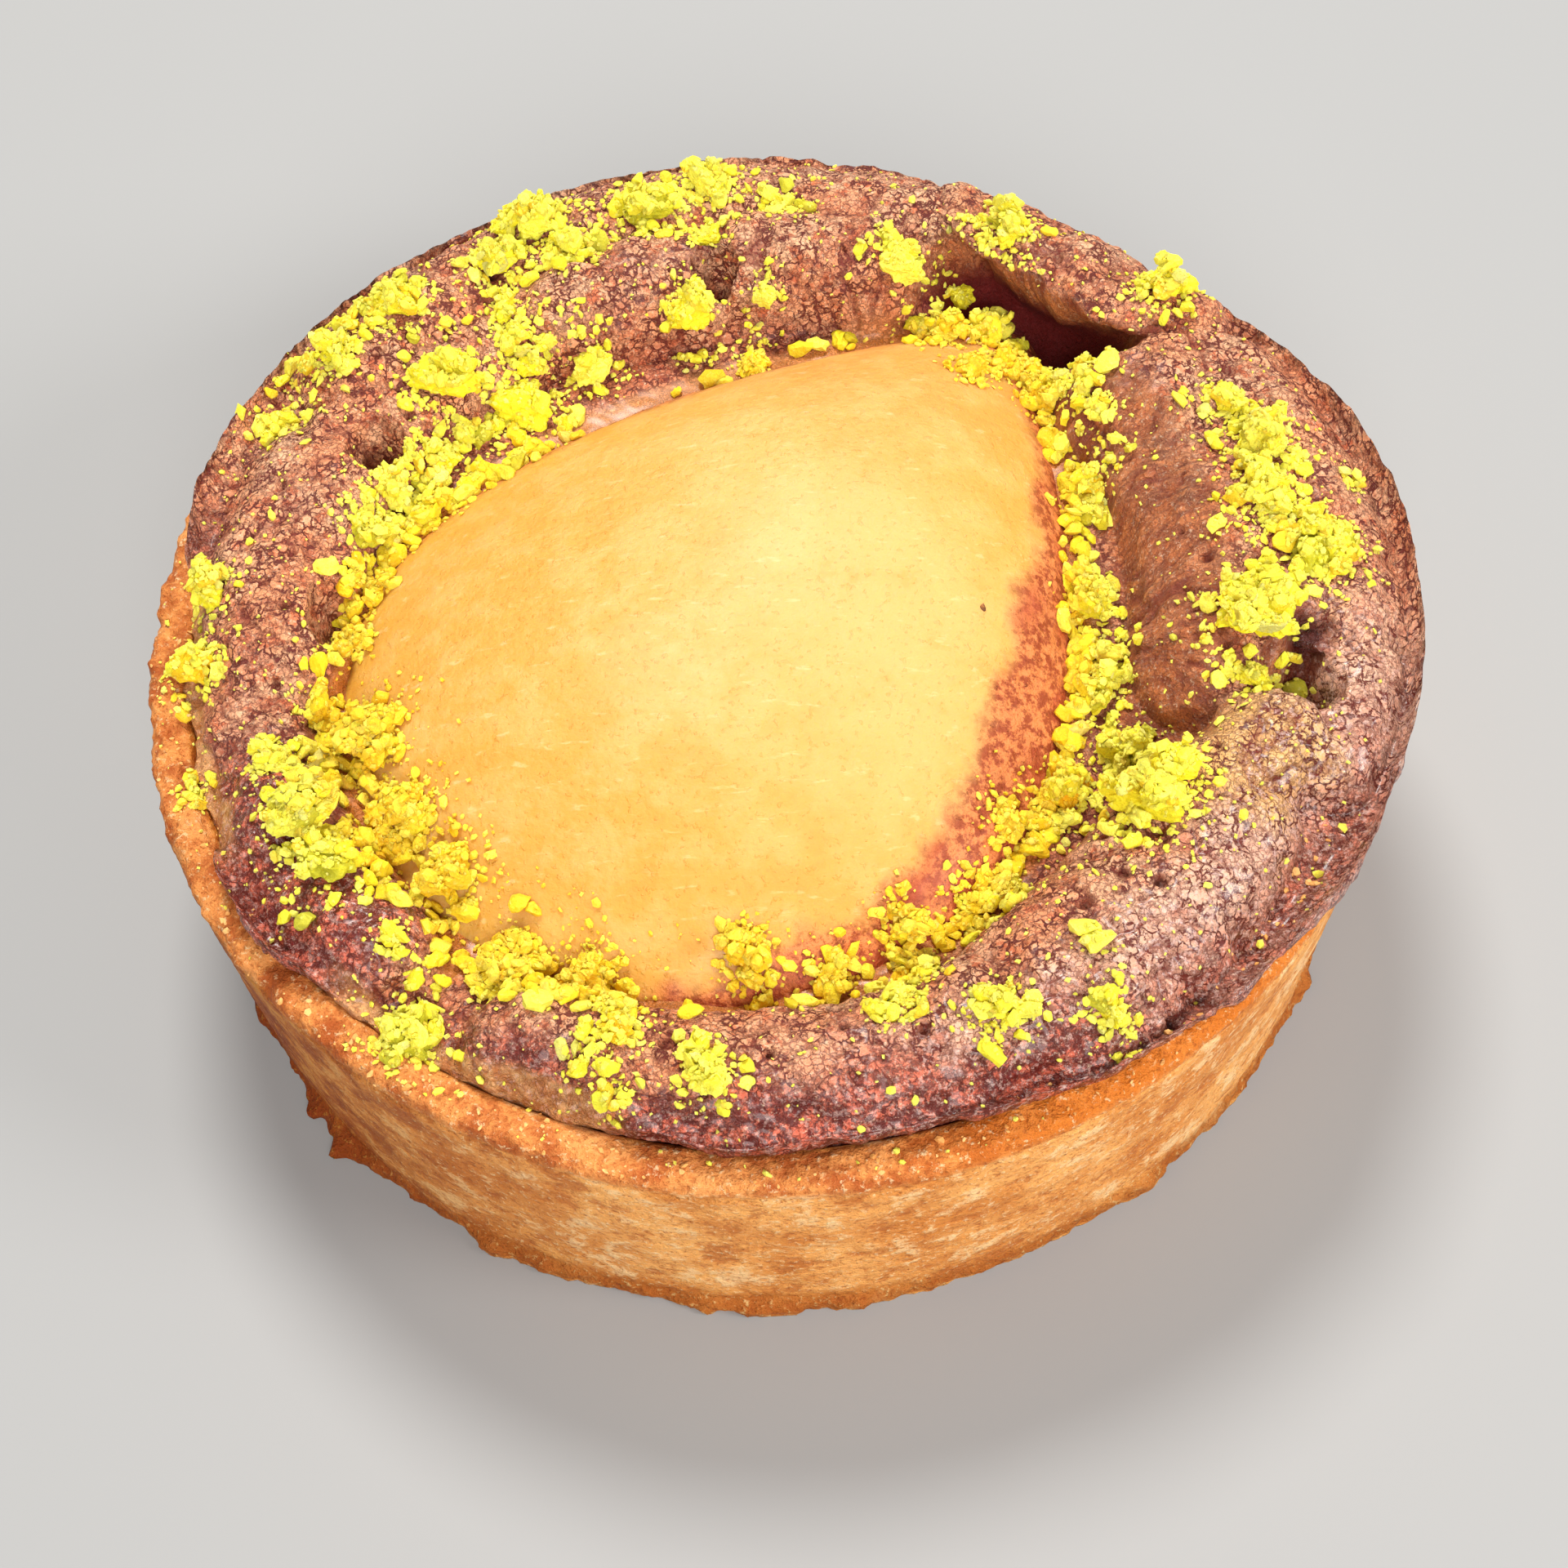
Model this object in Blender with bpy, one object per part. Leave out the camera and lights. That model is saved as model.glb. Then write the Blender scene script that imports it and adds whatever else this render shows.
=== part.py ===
"""A round pear tart: a straight-sided pastry case filled with puffed almond cream, half a
pear set into the middle, and chopped pistachio strewn round the pear and over the cream.

Sizes are in millimetres until a mesh is finished, +Z is up, and the case stands on z = 0.
"""

import math
import random

import bmesh
import bpy
from mathutils import Matrix, Vector, noise

MM = 0.001
FIT_GAP = 0.3  # between pieces that touch

# Pastry case
RIM_RADIUS = 50.0
BASE_RADIUS = 48.9
CASE_HEIGHT = 25.3
WALL = 3.2
FLOOR = 3.0
FOOT_REACH = 1.0  # how far the ragged foot of the crust stands out
CASE_STEPS = 90
WALL_LEVELS = (0.0, 0.8, 2.0, 4.5, 10.0, 16.0, 21.5)
INNER_RADIUS = RIM_RADIUS - WALL
LIP_PROFILE = ((0.1, 1.5), (0.55, 0.5), (1.5, 0.0), (2.4, 0.2), (3.1, 1.1))  # inset, drop
LIP_CRACKS = (177, 190)  # degrees
TORN_FOOT = 223  # degrees, a crumb that stands out of the foot

# Almond cream. Its outer edge runs inside the lip or over it: degrees, radius, and the
# height of the rounded lower side where it hangs over
CREAM_EDGE = (
    (0, 51.3, 3.6), (15, 51.1, 3.6), (24, 50.0, 3.0), (33, 48.9, 2.6), (40, 47.7, 2.2),
    (48, 48.1, 2.2), (58, 48.4, 2.2), (66, 47.7, 2.2), (76, 48.6, 2.4), (90, 49.3, 2.6),
    (120, 49.1, 2.8), (138, 48.9, 3.2), (152, 48.5, 3.2), (162, 48.5, 3.0), (170, 47.6, 2.4),
    (176, 46.5, 2.2), (204, 46.5, 2.2), (210, 47.9, 2.4), (217, 48.2, 2.4), (226, 46.8, 2.2),
    (234, 46.5, 2.2), (250, 46.5, 2.2), (258, 47.2, 2.2), (265, 47.9, 2.2), (273, 47.2, 2.2),
    (281, 47.1, 2.2), (289, 47.8, 2.2), (298, 48.8, 2.2), (312, 49.6, 2.4), (330, 50.9, 3.2),
    (345, 51.3, 3.6), (360, 51.3, 3.6),
)
CREAM_RADIUS = INNER_RADIUS - FIT_GAP
SHOULDER = 5.0  # width of the rounded outer edge
FILLING_STEPS = 96
FILLING_RINGS = 25
CORE_SHARE = 0.36  # the innermost ring, hidden under the pear
MOAT_HEIGHT = 24.8  # the cream's level round the pear
SWELL_RADIUS = 41.5
SWELL_HEIGHT = 26.6
SWELL_REACH = 10.5

# Puffed lobes: from and to (degrees), radius at each end, half width, height of the crest
LOBES = (
    (158, 183, 39.8, 39.6, 6.6, 29.8),
    (188, 198, 41.4, 41.6, 5.0, 28.0),
    (205, 224, 41.8, 41.9, 5.2, 29.4),
    (245, 292, 43.0, 41.0, 5.7, 30.0),
    (298, 324, 41.0, 39.4, 7.4, 30.8),
    (327, 336, 38.6, 41.5, 5.6, 31.2),
    (336, 347, 45.6, 46.2, 4.2, 29.6),
    (350, 388, 38.0, 39.4, 9.2, 31.6),
    (352, 386, 45.0, 44.4, 5.4, 30.6),
    (35, 64, 45.4, 45.0, 4.4, 31.6),
    (66, 100, 42.6, 43.0, 6.4, 30.6),
    (74, 90, 36.6, 35.8, 5.6, 32.0),
    (98, 116, 35.4, 35.8, 5.8, 31.2),
    (104, 142, 42.8, 42.2, 6.4, 30.8),
    (124, 150, 37.4, 38.4, 6.2, 29.6),
)

# Hollows and pits: degrees, radius, half length round the ring, half width, floor height
HOLLOWS = (
    (50, 38.4, 11.5, 4.4, 20.6),
    (95, 33.4, 2.0, 2.2, 24.6),
    (152, 35.8, 2.8, 2.4, 24.4),
    (180, 34.6, 3.6, 1.8, 23.5),
    (343, 42.2, 2.8, 3.4, 23.5),
)
# The lobe that leans in over the large hollow: degrees, half length, foot radius, reach
FOLD = (49, 13.0, 41.2, 4.2)
FOLD_STEEPNESS = 1.4

# Half pear, turned about its long axis and lying on its flat side
PEAR_CENTRE = (0.0, -0.1)
PEAR_TURN = math.radians(53.3)
PEAR_LENGTH = 81.4
PEAR_WIDTH = 57.0
PEAR_TAPER = (0.485, 0.295, -0.078)
PEAR_BED = 20.0  # height of its flat side
PEAR_BULGE = (0.435, 0.34)  # height over half width at the wide end, and its gain at the stem
PEAR_SEGMENTS = 44
PEAR_SLICES = 22

# Chopped pistachio: x, y and width of the larger pieces
NUTS = (
    (-44.3, 2.4, 4), (-45.2, -4.1, 5), (-37.9, -14.6, 4), (-34.9, -20.2, 6), (-33.5, -24.4, 6),
    (-31.5, -11.6, 7), (-27.8, -19, 5), (-24.5, -24.8, 5), (-27.2, -37.2, 6), (-19.1, -32, 6),
    (-14, -33.5, 4), (-11.6, -39.4, 3.5), (-5.7, -43.5, 4), (-2.7, -32.7, 4), (8.9, -31, 4),
    (14.1, -39.5, 3.6), (22.5, -40, 3.5), (14.3, -28.4, 4), (17.3, -22.2, 4), (22, -17.8, 5),
    (26.8, -23.2, 8), (29.8, -21, 4.5), (26.8, -15.3, 4.6), (37.4, -8.4, 8), (36.4, -12.6, 3.2),
    (43.7, -1.4, 7), (40.2, 3.5, 5), (40.9, 9, 6), (38.5, 13.5, 3), (35, 27.1, 5), (27.5, 10.9, 4),
    (26.1, -1.4, 3.6), (26.9, -6.1, 3.6), (25.6, -10.2, 3.4), (28.1, 15.3, 3.2), (28.2, 22.5, 4.4),
    (21.7, 24.7, 4), (18.7, 22.5, 3.5), (24.4, 20.3, 3.6), (21.3, 30.1, 5.2), (16.6, 29.1, 4.4),
    (18.7, 34.5, 4), (13.3, 32.8, 5), (22.8, 34.7, 4.6), (-0.1, 26.9, 3), (1.5, 31, 3),
    (-4.9, 29.8, 4.6), (-8.8, 40.2, 5), (-3.6, 42.8, 4), (-3.6, 37.5, 4), (-18.9, 39.6, 5),
    (-21.4, 35, 4), (-15.1, 36.9, 4), (-21, 30.5, 3.6), (-30.7, 30.5, 4.4), (-35.6, 25.6, 3.6),
    (-19.3, 25.8, 3.6), (-26, 22.9, 6), (-19.8, 22.5, 7), (-26.4, 17.4, 5), (-14, 26.9, 5),
    (-30.7, 13.8, 4.4), (-27.4, 12.3, 4), (-32.2, 8.7, 4), (-33.6, -0.7, 4), (-35.1, -8.1, 3.6),
)
NUT_SEED = 41
FINE_NUT = 4.8  # pieces wider than this are rounder
LIP_MARGIN = 0.8


def smoothstep(low, high, value):
    """0 below low, 1 above high, with a smooth run between."""
    share = min(1.0, max(0.0, (value - low) / (high - low)))
    return share * share * (3.0 - 2.0 * share)


def degrees_between(first, second):
    """Signed difference of two angles in degrees, from -180 to 180."""
    return (first - second + 180.0) % 360.0 - 180.0


def wander(x, y, z, size):
    """Smooth noise from -1 to 1 whose features are about size across."""
    return noise.noise(Vector((x, y, z)) / size)


def on_circle(degrees, radius, height):
    """Point at an angle, a radius and a height."""
    turn = math.radians(degrees)
    return Vector((radius * math.cos(turn), radius * math.sin(turn), height))


def lip_height(degrees):
    """Height of the crust's lip, which was cut by hand and has sunk a little in places."""
    turn = math.radians(degrees)
    lip = CASE_HEIGHT + 0.3 * math.sin(2 * turn + 0.6) + 0.2 * math.sin(5 * turn)
    for crack in LIP_CRACKS:
        lip -= 0.9 * math.exp(-((degrees_between(degrees, crack) / 1.9) ** 2))
    return lip


def edge_profile(degrees):
    """Radius of the cream's outer edge, and height of its rounded lower side."""
    degrees %= 360.0
    for before, after in zip(CREAM_EDGE, CREAM_EDGE[1:]):
        if degrees <= after[0]:
            share = smoothstep(before[0], after[0], degrees)
            radius = before[1] + (after[1] - before[1]) * share
            curl = before[2] + (after[2] - before[2]) * share
            break
    spot = on_circle(degrees, 50.0, 3.1)
    loose = 0.35 * wander(spot.x, spot.y, spot.z, 9.0) * smoothstep(47.0, 49.0, radius)
    return radius + loose, curl


def edge_radius(degrees):
    """Radius of the cream's outer edge."""
    return edge_profile(degrees)[0]


def hang(degrees):
    """0 where the cream stops inside the lip, 1 where it lies over it."""
    return smoothstep(46.5, 47.3, edge_radius(degrees))


def edge_height(degrees):
    """Height of the cream's outermost line."""
    over = hang(degrees)
    return lip_height(degrees) + over * (FIT_GAP + edge_profile(degrees)[1]) - (1.0 - over) * 0.5


def lobe_offset(degrees, radius, lobe):
    """Distance from the middle line of a lobe, 1 on its outline."""
    start, end, inner, outer, half_width, _ = lobe
    along = degrees_between(degrees, (start + end) / 2.0)
    half = (end - start) / 2.0
    share = min(1.0, max(0.0, (along + half) / (2.0 * half)))
    beyond = math.radians(max(0.0, abs(along) - half)) * radius
    return math.hypot(beyond, radius - inner - (outer - inner) * share) / half_width


def cream_field(degrees, radius):
    """Height of the risen cream before its outer edge is rounded off."""
    away = abs(radius - SWELL_RADIUS) / SWELL_REACH
    height = MOAT_HEIGHT + (SWELL_HEIGHT - MOAT_HEIGHT) * (1.0 - smoothstep(0.0, 1.0, away))
    for lobe in LOBES:
        offset = lobe_offset(degrees, radius, lobe)
        if offset < 1.0:
            crest = MOAT_HEIGHT + (lobe[5] - MOAT_HEIGHT) * (1.0 - offset**2.4) ** 0.6
            height = max(height, crest)
    for angle, middle, half_length, half_width, floor in HOLLOWS:
        along = math.radians(degrees_between(degrees, angle)) * middle / half_length
        offset = math.hypot(along, (radius - middle) / half_width)
        if offset < 1.0:
            height = min(height, height + (floor - height) * (1.0 - offset**3) ** 1.3)
    return height


def cream_height(degrees, radius):
    """Height of the cream's top surface."""
    spot = on_circle(degrees, radius, 0.0)
    crags = 0.5 * wander(spot.x, spot.y, 0.0, 7.0) + 0.35 * wander(spot.x, spot.y, 5.0, 3.2)
    height = cream_field(degrees, radius) + crags * smoothstep(24.0, 32.0, radius)
    edge = edge_radius(degrees)
    rounded = min(1.0, max(0.0, (radius - edge + SHOULDER) / SHOULDER))
    fall = (1.0 - rounded**2.2) ** 0.55
    low = edge_height(degrees)
    return low + (height - low) * fall


def cream_point(degrees, share):
    """Point of the cream's top at a share of the way from the middle to its edge."""
    radius = share * edge_radius(degrees)
    height = cream_height(degrees, radius)
    angle, half_length, at, reach = FOLD
    along = math.radians(degrees_between(degrees, angle)) * radius / half_length
    if abs(along) < 1.0:
        crown = at + FOLD_STEEPNESS
        lean = smoothstep(at, crown, radius) * (1.0 - smoothstep(crown, RIM_RADIUS - 1.0, radius))
        radius -= reach * lean * (1.0 - along**4)
    return on_circle(degrees, radius, height)


def ring_of(bm, points):
    """Adds points as a closed loop of edges and returns the vertices."""
    verts = [bm.verts.new(point * MM) for point in points]
    for first, second in zip(verts, verts[1:] + verts[:1]):
        bm.edges.new((first, second))
    return verts


def lofted(name, rings):
    """A closed solid through a stack of rings: a flat cap under the first, a fan in the last."""
    bm = bmesh.new()
    loops = [ring_of(bm, ring) for ring in rings]
    for lower, upper in zip(loops, loops[1:]):
        for i, vert in enumerate(lower):
            j = (i + 1) % len(lower)
            bm.faces.new((vert, lower[j], upper[j], upper[i]))
    bm.faces.new(loops[0])
    hub = bm.verts.new(sum((vert.co for vert in loops[-1]), Vector()) / len(loops[-1]))
    for first, second in zip(loops[-1], loops[-1][1:] + loops[-1][:1]):
        bm.faces.new((first, second, hub))
    bmesh.ops.recalc_face_normals(bm, faces=bm.faces)
    return finished(name, bm)


def finished(name, bm):
    """A new object with the bmesh's mesh, shaded smooth."""
    mesh = bpy.data.meshes.new(name)
    bm.to_mesh(mesh)
    bm.free()
    mesh.shade_smooth()
    mesh.set_sharp_from_angle(angle=math.radians(50))
    return bpy.data.objects.new(name, mesh)


def material(name, colour, roughness):
    """A Principled material for one piece."""
    made = bpy.data.materials.new(name)
    made.use_nodes = True
    shader = made.node_tree.nodes["Principled BSDF"]
    shader.inputs["Base Color"].default_value = (*colour, 1.0)
    shader.inputs["Roughness"].default_value = roughness
    shader.inputs["Metallic"].default_value = 0.0
    return made


def foot(degrees, rise):
    """How far the ragged foot of the crust stands out at a height above the bottom."""
    spot = on_circle(degrees, 50.0, 0.0)
    ragged = 0.35 + abs(wander(spot.x, spot.y, 0.0, 3.6)) + 0.6 * wander(spot.x, spot.y, 9.0, 1.6)
    torn = 1.0 + 1.1 * math.exp(-((degrees_between(degrees, TORN_FOOT) / 3.0) ** 2))
    return max(0.0, FOOT_REACH * ragged * torn) * (1.0 - smoothstep(0.3, 2.4, rise))


def wall_ring(rise):
    """Ring of the case's outside: nearly straight, a little uneven, ragged at the foot."""
    lean = BASE_RADIUS + (RIM_RADIUS - BASE_RADIUS) * rise / CASE_HEIGHT
    points = []
    for step in range(CASE_STEPS):
        degrees = 360.0 * step / CASE_STEPS
        spot = on_circle(degrees, 50.0, rise)
        sway = 0.25 * wander(spot.x, spot.y, spot.z, 16.0)
        points.append(on_circle(degrees, lean + sway + foot(degrees, rise), rise))
    return points


def pastry_case():
    """The baked crust: floor, upright wall, rounded hand-cut lip and ragged foot."""
    rings = [wall_ring(rise) for rise in WALL_LEVELS]
    angles = [360.0 * step / CASE_STEPS for step in range(CASE_STEPS)]
    for inset, drop in LIP_PROFILE:
        rings.append([on_circle(at, RIM_RADIUS - inset, lip_height(at) - drop) for at in angles])
    for level in (14.0, FLOOR):
        rings.append([on_circle(at, INNER_RADIUS, level) for at in angles])
    case = lofted("case", rings)
    case.data.materials.append(material("baked crust", (0.62, 0.36, 0.13), 0.6))
    return case


def under_edge(degrees, share):
    """Point of the cream's rounded lower side, from its outermost line in to the lip."""
    edge = edge_radius(degrees)
    over = hang(degrees)
    top = edge_height(degrees)
    bottom = lip_height(degrees) + over * FIT_GAP - (1.0 - over) * 1.2
    turn = share * math.pi / 2.0
    tuck = 1.3 * over * (1.0 - math.cos(turn))
    return on_circle(degrees, max(CREAM_RADIUS, edge - tuck), top + (bottom - top) * math.sin(turn))


def cream_body():
    """The almond cream as one solid, filling the case up to its puffed top."""
    angles = [360.0 * step / FILLING_STEPS for step in range(FILLING_STEPS)]
    rings = [[on_circle(at, CREAM_RADIUS, level) for at in angles] for level in (FLOOR + FIT_GAP, 13.0)]
    rings.append([on_circle(at, CREAM_RADIUS, under_edge(at, 1.0).z - 0.02) for at in angles])
    for share in (1.0, 0.55):
        rings.append([under_edge(at, share) + on_circle(at, 0.02, 0.0) for at in angles])
    for step in range(FILLING_RINGS + 1):
        share = 1.0 - (1.0 - CORE_SHARE) * (step / FILLING_RINGS) ** 1.15
        rings.append([cream_point(at, share) for at in angles])
    return lofted("filling", rings)


def pear_width(cosine):
    """Half width of the pear along its axis, -1 at the blossom end and 1 at the stem end."""
    first, second, third = PEAR_TAPER
    taper = 1.0 - first * cosine - second * cosine**2 - third * cosine**3
    return PEAR_WIDTH / 2.0 * taper * math.sqrt(max(0.0, 1.0 - cosine * cosine))


def pear_solid(name, grow=0.0):
    """Half a pear with its cut side down. A positive grow makes the cutter for its bed."""
    bm = bmesh.new()
    bmesh.ops.create_uvsphere(bm, u_segments=PEAR_SEGMENTS, v_segments=PEAR_SLICES, radius=1.0)
    wide, gain = PEAR_BULGE
    for vert in bm.verts:
        cosine = max(-1.0, min(1.0, vert.co.z))
        sine = math.sqrt(max(1e-9, 1.0 - cosine * cosine))
        width = pear_width(cosine)
        bulge = wide + gain * smoothstep(-0.2, 1.0, cosine)
        spot = Vector((cosine * PEAR_LENGTH / 2.0, vert.co.x / sine * width, vert.co.y / sine * width * bulge))
        outward = Vector((cosine, vert.co.x, vert.co.y)).normalized()
        vert.co = (spot + outward * grow) * MM
    bmesh.ops.bisect_plane(
        bm,
        geom=bm.verts[:] + bm.edges[:] + bm.faces[:],
        dist=1e-7,
        plane_co=(0, 0, -grow * MM),
        plane_no=(0, 0, 1),
        clear_inner=True,
    )
    bmesh.ops.contextual_create(bm, geom=[edge for edge in bm.edges if edge.is_boundary])
    place = Matrix.Translation(Vector((*PEAR_CENTRE, PEAR_BED)) * MM)
    bmesh.ops.transform(bm, matrix=place @ Matrix.Rotation(PEAR_TURN, 4, "Z"), verts=bm.verts)
    bmesh.ops.recalc_face_normals(bm, faces=bm.faces)
    return finished(name, bm)


def half_pear():
    """The poached half pear."""
    pear = pear_solid("pear")
    pear.data.materials.append(material("glazed pear", (0.86, 0.62, 0.16), 0.25))
    return pear


def nut_chunk(index, x, y, width):
    """One chopped piece: a lumpy faceted stone sunk partly into the cream."""
    draw = random.Random(NUT_SEED + index)
    bm = bmesh.new()
    rounds = 2 if width > FINE_NUT else 1
    bmesh.ops.create_icosphere(bm, subdivisions=rounds, radius=width / 2.0 * MM)
    for vert in bm.verts:
        vert.co *= draw.uniform(0.84, 1.14)
    stretch = Matrix.Diagonal((draw.uniform(0.95, 1.2), draw.uniform(0.78, 1.0), 0.78, 1.0))
    tilt = Matrix.Rotation(draw.uniform(-0.5, 0.5), 4, "X")
    spin = Matrix.Rotation(draw.uniform(0.0, math.tau), 4, "Z")
    level = cream_height(math.degrees(math.atan2(y, x)), math.hypot(x, y)) + 0.2 * width
    place = Matrix.Translation(Vector((x, y, level)) * MM)
    bmesh.ops.transform(bm, matrix=place @ spin @ tilt @ stretch, verts=bm.verts)
    return finished(f"nut_{index:03d}", bm)


def nuts_on_cream():
    """The pieces that lie on the cream and clear of the crust's lip."""
    chunks = []
    for index, (x, y, width) in enumerate(NUTS):
        degrees = math.degrees(math.atan2(y, x))
        reach = CREAM_RADIUS if hang(degrees) < 1.0 else edge_radius(degrees)
        room = reach - LIP_MARGIN - 0.62 * width
        pull = min(1.0, room / math.hypot(x, y))
        chunks.append(nut_chunk(index, x * pull, y * pull, width))
    return chunks


def apply_boolean(target, operation, collection):
    """Runs one Boolean on a collection and keeps its result as the target's mesh."""
    step = target.modifiers.new(operation.lower(), "BOOLEAN")
    step.operation = operation
    step.operand_type = "COLLECTION"
    step.collection = collection
    step.solver = "MANIFOLD"
    graph = bpy.context.evaluated_depsgraph_get()
    mesh = bpy.data.meshes.new_from_object(target.evaluated_get(graph))
    target.modifiers.remove(step)
    old = target.data
    target.data = mesh
    bpy.data.meshes.remove(old)


def keep_main_shell(obj):
    """Drops the loose scraps that a Boolean leaves."""
    bm = bmesh.new()
    bm.from_mesh(obj.data)
    left = set(bm.faces)
    shells = []
    while left:
        front = [left.pop()]
        shell = list(front)
        while front:
            face = front.pop()
            for edge in face.edges:
                for other in edge.link_faces:
                    if other in left:
                        left.discard(other)
                        shell.append(other)
                        front.append(other)
        shells.append(shell)
    shells.sort(key=len, reverse=True)
    scraps = [face for shell in shells[1:] for face in shell]
    bmesh.ops.delete(bm, geom=scraps, context="FACES")
    bm.to_mesh(obj.data)
    bm.free()


def emptied(collection):
    """Removes a helper collection and what is in it."""
    for obj in list(collection.objects):
        bpy.data.objects.remove(obj)
    bpy.data.collections.remove(collection)


def main():
    """Builds the tart in its own collection."""
    for obj in list(bpy.data.objects):
        bpy.data.objects.remove(obj)
    tart = bpy.data.collections.new("pear tart")
    nuts = bpy.data.collections.new("pistachio")
    cutters = bpy.data.collections.new("cutters")
    for collection in (tart, nuts, cutters):
        bpy.context.scene.collection.children.link(collection)

    tart.objects.link(pastry_case())
    tart.objects.link(half_pear())
    filling = cream_body()
    filling.data.materials.append(material("almond cream", (0.38, 0.17, 0.08), 0.75))
    tart.objects.link(filling)

    for chunk in nuts_on_cream():
        nuts.objects.link(chunk)
    apply_boolean(filling, "UNION", nuts)
    emptied(nuts)
    cutters.objects.link(pear_solid("pear_bed", grow=FIT_GAP))
    apply_boolean(filling, "DIFFERENCE", cutters)
    emptied(cutters)
    keep_main_shell(filling)


main()
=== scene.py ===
import math
import random

import bmesh
import bpy
import numpy as np
from mathutils import Matrix, Vector, noise
from mathutils.bvhtree import BVHTree


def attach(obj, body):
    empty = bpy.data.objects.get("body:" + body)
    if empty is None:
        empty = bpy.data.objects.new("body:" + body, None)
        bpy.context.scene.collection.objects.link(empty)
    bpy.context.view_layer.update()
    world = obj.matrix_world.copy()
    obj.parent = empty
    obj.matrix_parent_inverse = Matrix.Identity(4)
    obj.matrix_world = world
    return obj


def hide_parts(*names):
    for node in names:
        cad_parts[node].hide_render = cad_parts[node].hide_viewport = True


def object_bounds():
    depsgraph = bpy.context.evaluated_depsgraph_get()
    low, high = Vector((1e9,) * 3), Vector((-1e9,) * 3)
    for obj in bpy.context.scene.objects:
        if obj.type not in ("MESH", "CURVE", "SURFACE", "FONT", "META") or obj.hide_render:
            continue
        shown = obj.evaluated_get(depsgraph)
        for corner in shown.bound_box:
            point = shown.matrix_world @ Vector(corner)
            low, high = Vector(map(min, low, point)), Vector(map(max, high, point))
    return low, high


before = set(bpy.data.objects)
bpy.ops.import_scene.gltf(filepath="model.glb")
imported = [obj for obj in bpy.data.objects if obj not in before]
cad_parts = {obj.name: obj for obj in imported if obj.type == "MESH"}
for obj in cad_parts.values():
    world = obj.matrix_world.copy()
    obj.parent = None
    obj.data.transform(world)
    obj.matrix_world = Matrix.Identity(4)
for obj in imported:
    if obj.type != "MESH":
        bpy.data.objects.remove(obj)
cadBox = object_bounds()

# A round pear tart. Shapes are worked out in millimetres and stored in metres.
mm = 0.001


# Small helpers
def ease(low, high, value):
    share = np.clip((value - low) / (high - low), 0.0, 1.0)
    return share * share * (3.0 - 2.0 * share)


def angleGap(first, second):
    return (first - second + 180.0) % 360.0 - 180.0


def sector(degrees, middle, wide, narrow):
    # 1 within narrow of the middle, falling to 0 at wide
    return ease(wide, narrow, np.abs(angleGap(degrees, middle)))


def wander(x, y, z, size, shift=0.0):
    # smooth noise from -1 to 1, its features about size across
    points = np.stack(np.broadcast_arrays(x, y, z), -1) / size + shift
    flat = [noise.noise(Vector(point)) for point in points.reshape(-1, 3).tolist()]
    return np.array(flat).reshape(points.shape[:-1])


def field(at, size, shift=0.0):
    return wander(at[:, 0], at[:, 1], at[:, 2], size, shift)


def ring(degrees, radius):
    turn = np.radians(degrees)
    return radius * np.cos(turn), radius * np.sin(turn)


def bump(value, middle, width):
    return np.exp(-(((value - middle) / width) ** 2))


# Sizes shared by the pieces
caseSize = dict(
    rim=50.0, base=48.9, height=25.3, wall=3.2, floor=3.0, foot=1.0, cracks=(177, 190), tornFoot=223,
)
innerRadius = caseSize["rim"] - caseSize["wall"]
gap = 0.3

# the cream's outer edge: degrees, radius, height of its rounded lower side
creamEdge = np.array((
    (0, 51.3, 3.6), (15, 51.1, 3.6), (24, 50.0, 3.0), (33, 48.9, 2.6), (40, 47.7, 2.2),
    (48, 48.1, 2.2), (58, 48.4, 2.2), (66, 47.7, 2.2), (76, 48.6, 2.4), (90, 49.3, 2.6),
    (120, 49.1, 2.8), (138, 48.9, 3.2), (152, 48.5, 3.2), (162, 48.5, 3.0), (170, 47.6, 2.4),
    (176, 46.5, 2.2), (204, 46.5, 2.2), (210, 47.9, 2.4), (217, 48.2, 2.4), (226, 46.8, 2.2),
    (234, 46.5, 2.2), (250, 46.5, 2.2), (258, 47.2, 2.2), (265, 47.9, 2.2), (273, 47.2, 2.2),
    (281, 47.1, 2.2), (289, 47.8, 2.2), (298, 48.8, 2.2), (312, 49.6, 2.4), (330, 50.9, 3.2),
    (345, 51.3, 3.6), (360, 51.3, 3.6),
))
# puffed lobes: from, to (degrees), radius at each end, half width, crest
lobes = (
    (158, 183, 39.8, 39.6, 6.6, 29.8), (188, 198, 41.4, 41.6, 5.0, 28.0), (205, 224, 41.8, 41.9, 5.2, 29.4),
    (245, 292, 43.0, 41.0, 5.7, 30.0), (298, 324, 41.0, 39.4, 7.4, 30.8), (327, 336, 38.6, 41.5, 5.6, 31.2),
    (336, 347, 45.6, 46.2, 4.2, 29.6), (350, 388, 38.0, 39.4, 9.2, 31.6), (352, 386, 45.0, 44.4, 5.4, 30.6),
    (35, 64, 45.4, 45.0, 4.4, 31.6), (66, 100, 42.6, 43.0, 6.4, 30.6), (74, 90, 36.6, 35.8, 5.6, 32.0),
    (98, 116, 35.4, 35.8, 5.8, 31.2), (104, 142, 42.8, 42.2, 6.4, 30.8), (124, 150, 37.4, 38.4, 6.2, 29.6),
)
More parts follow.
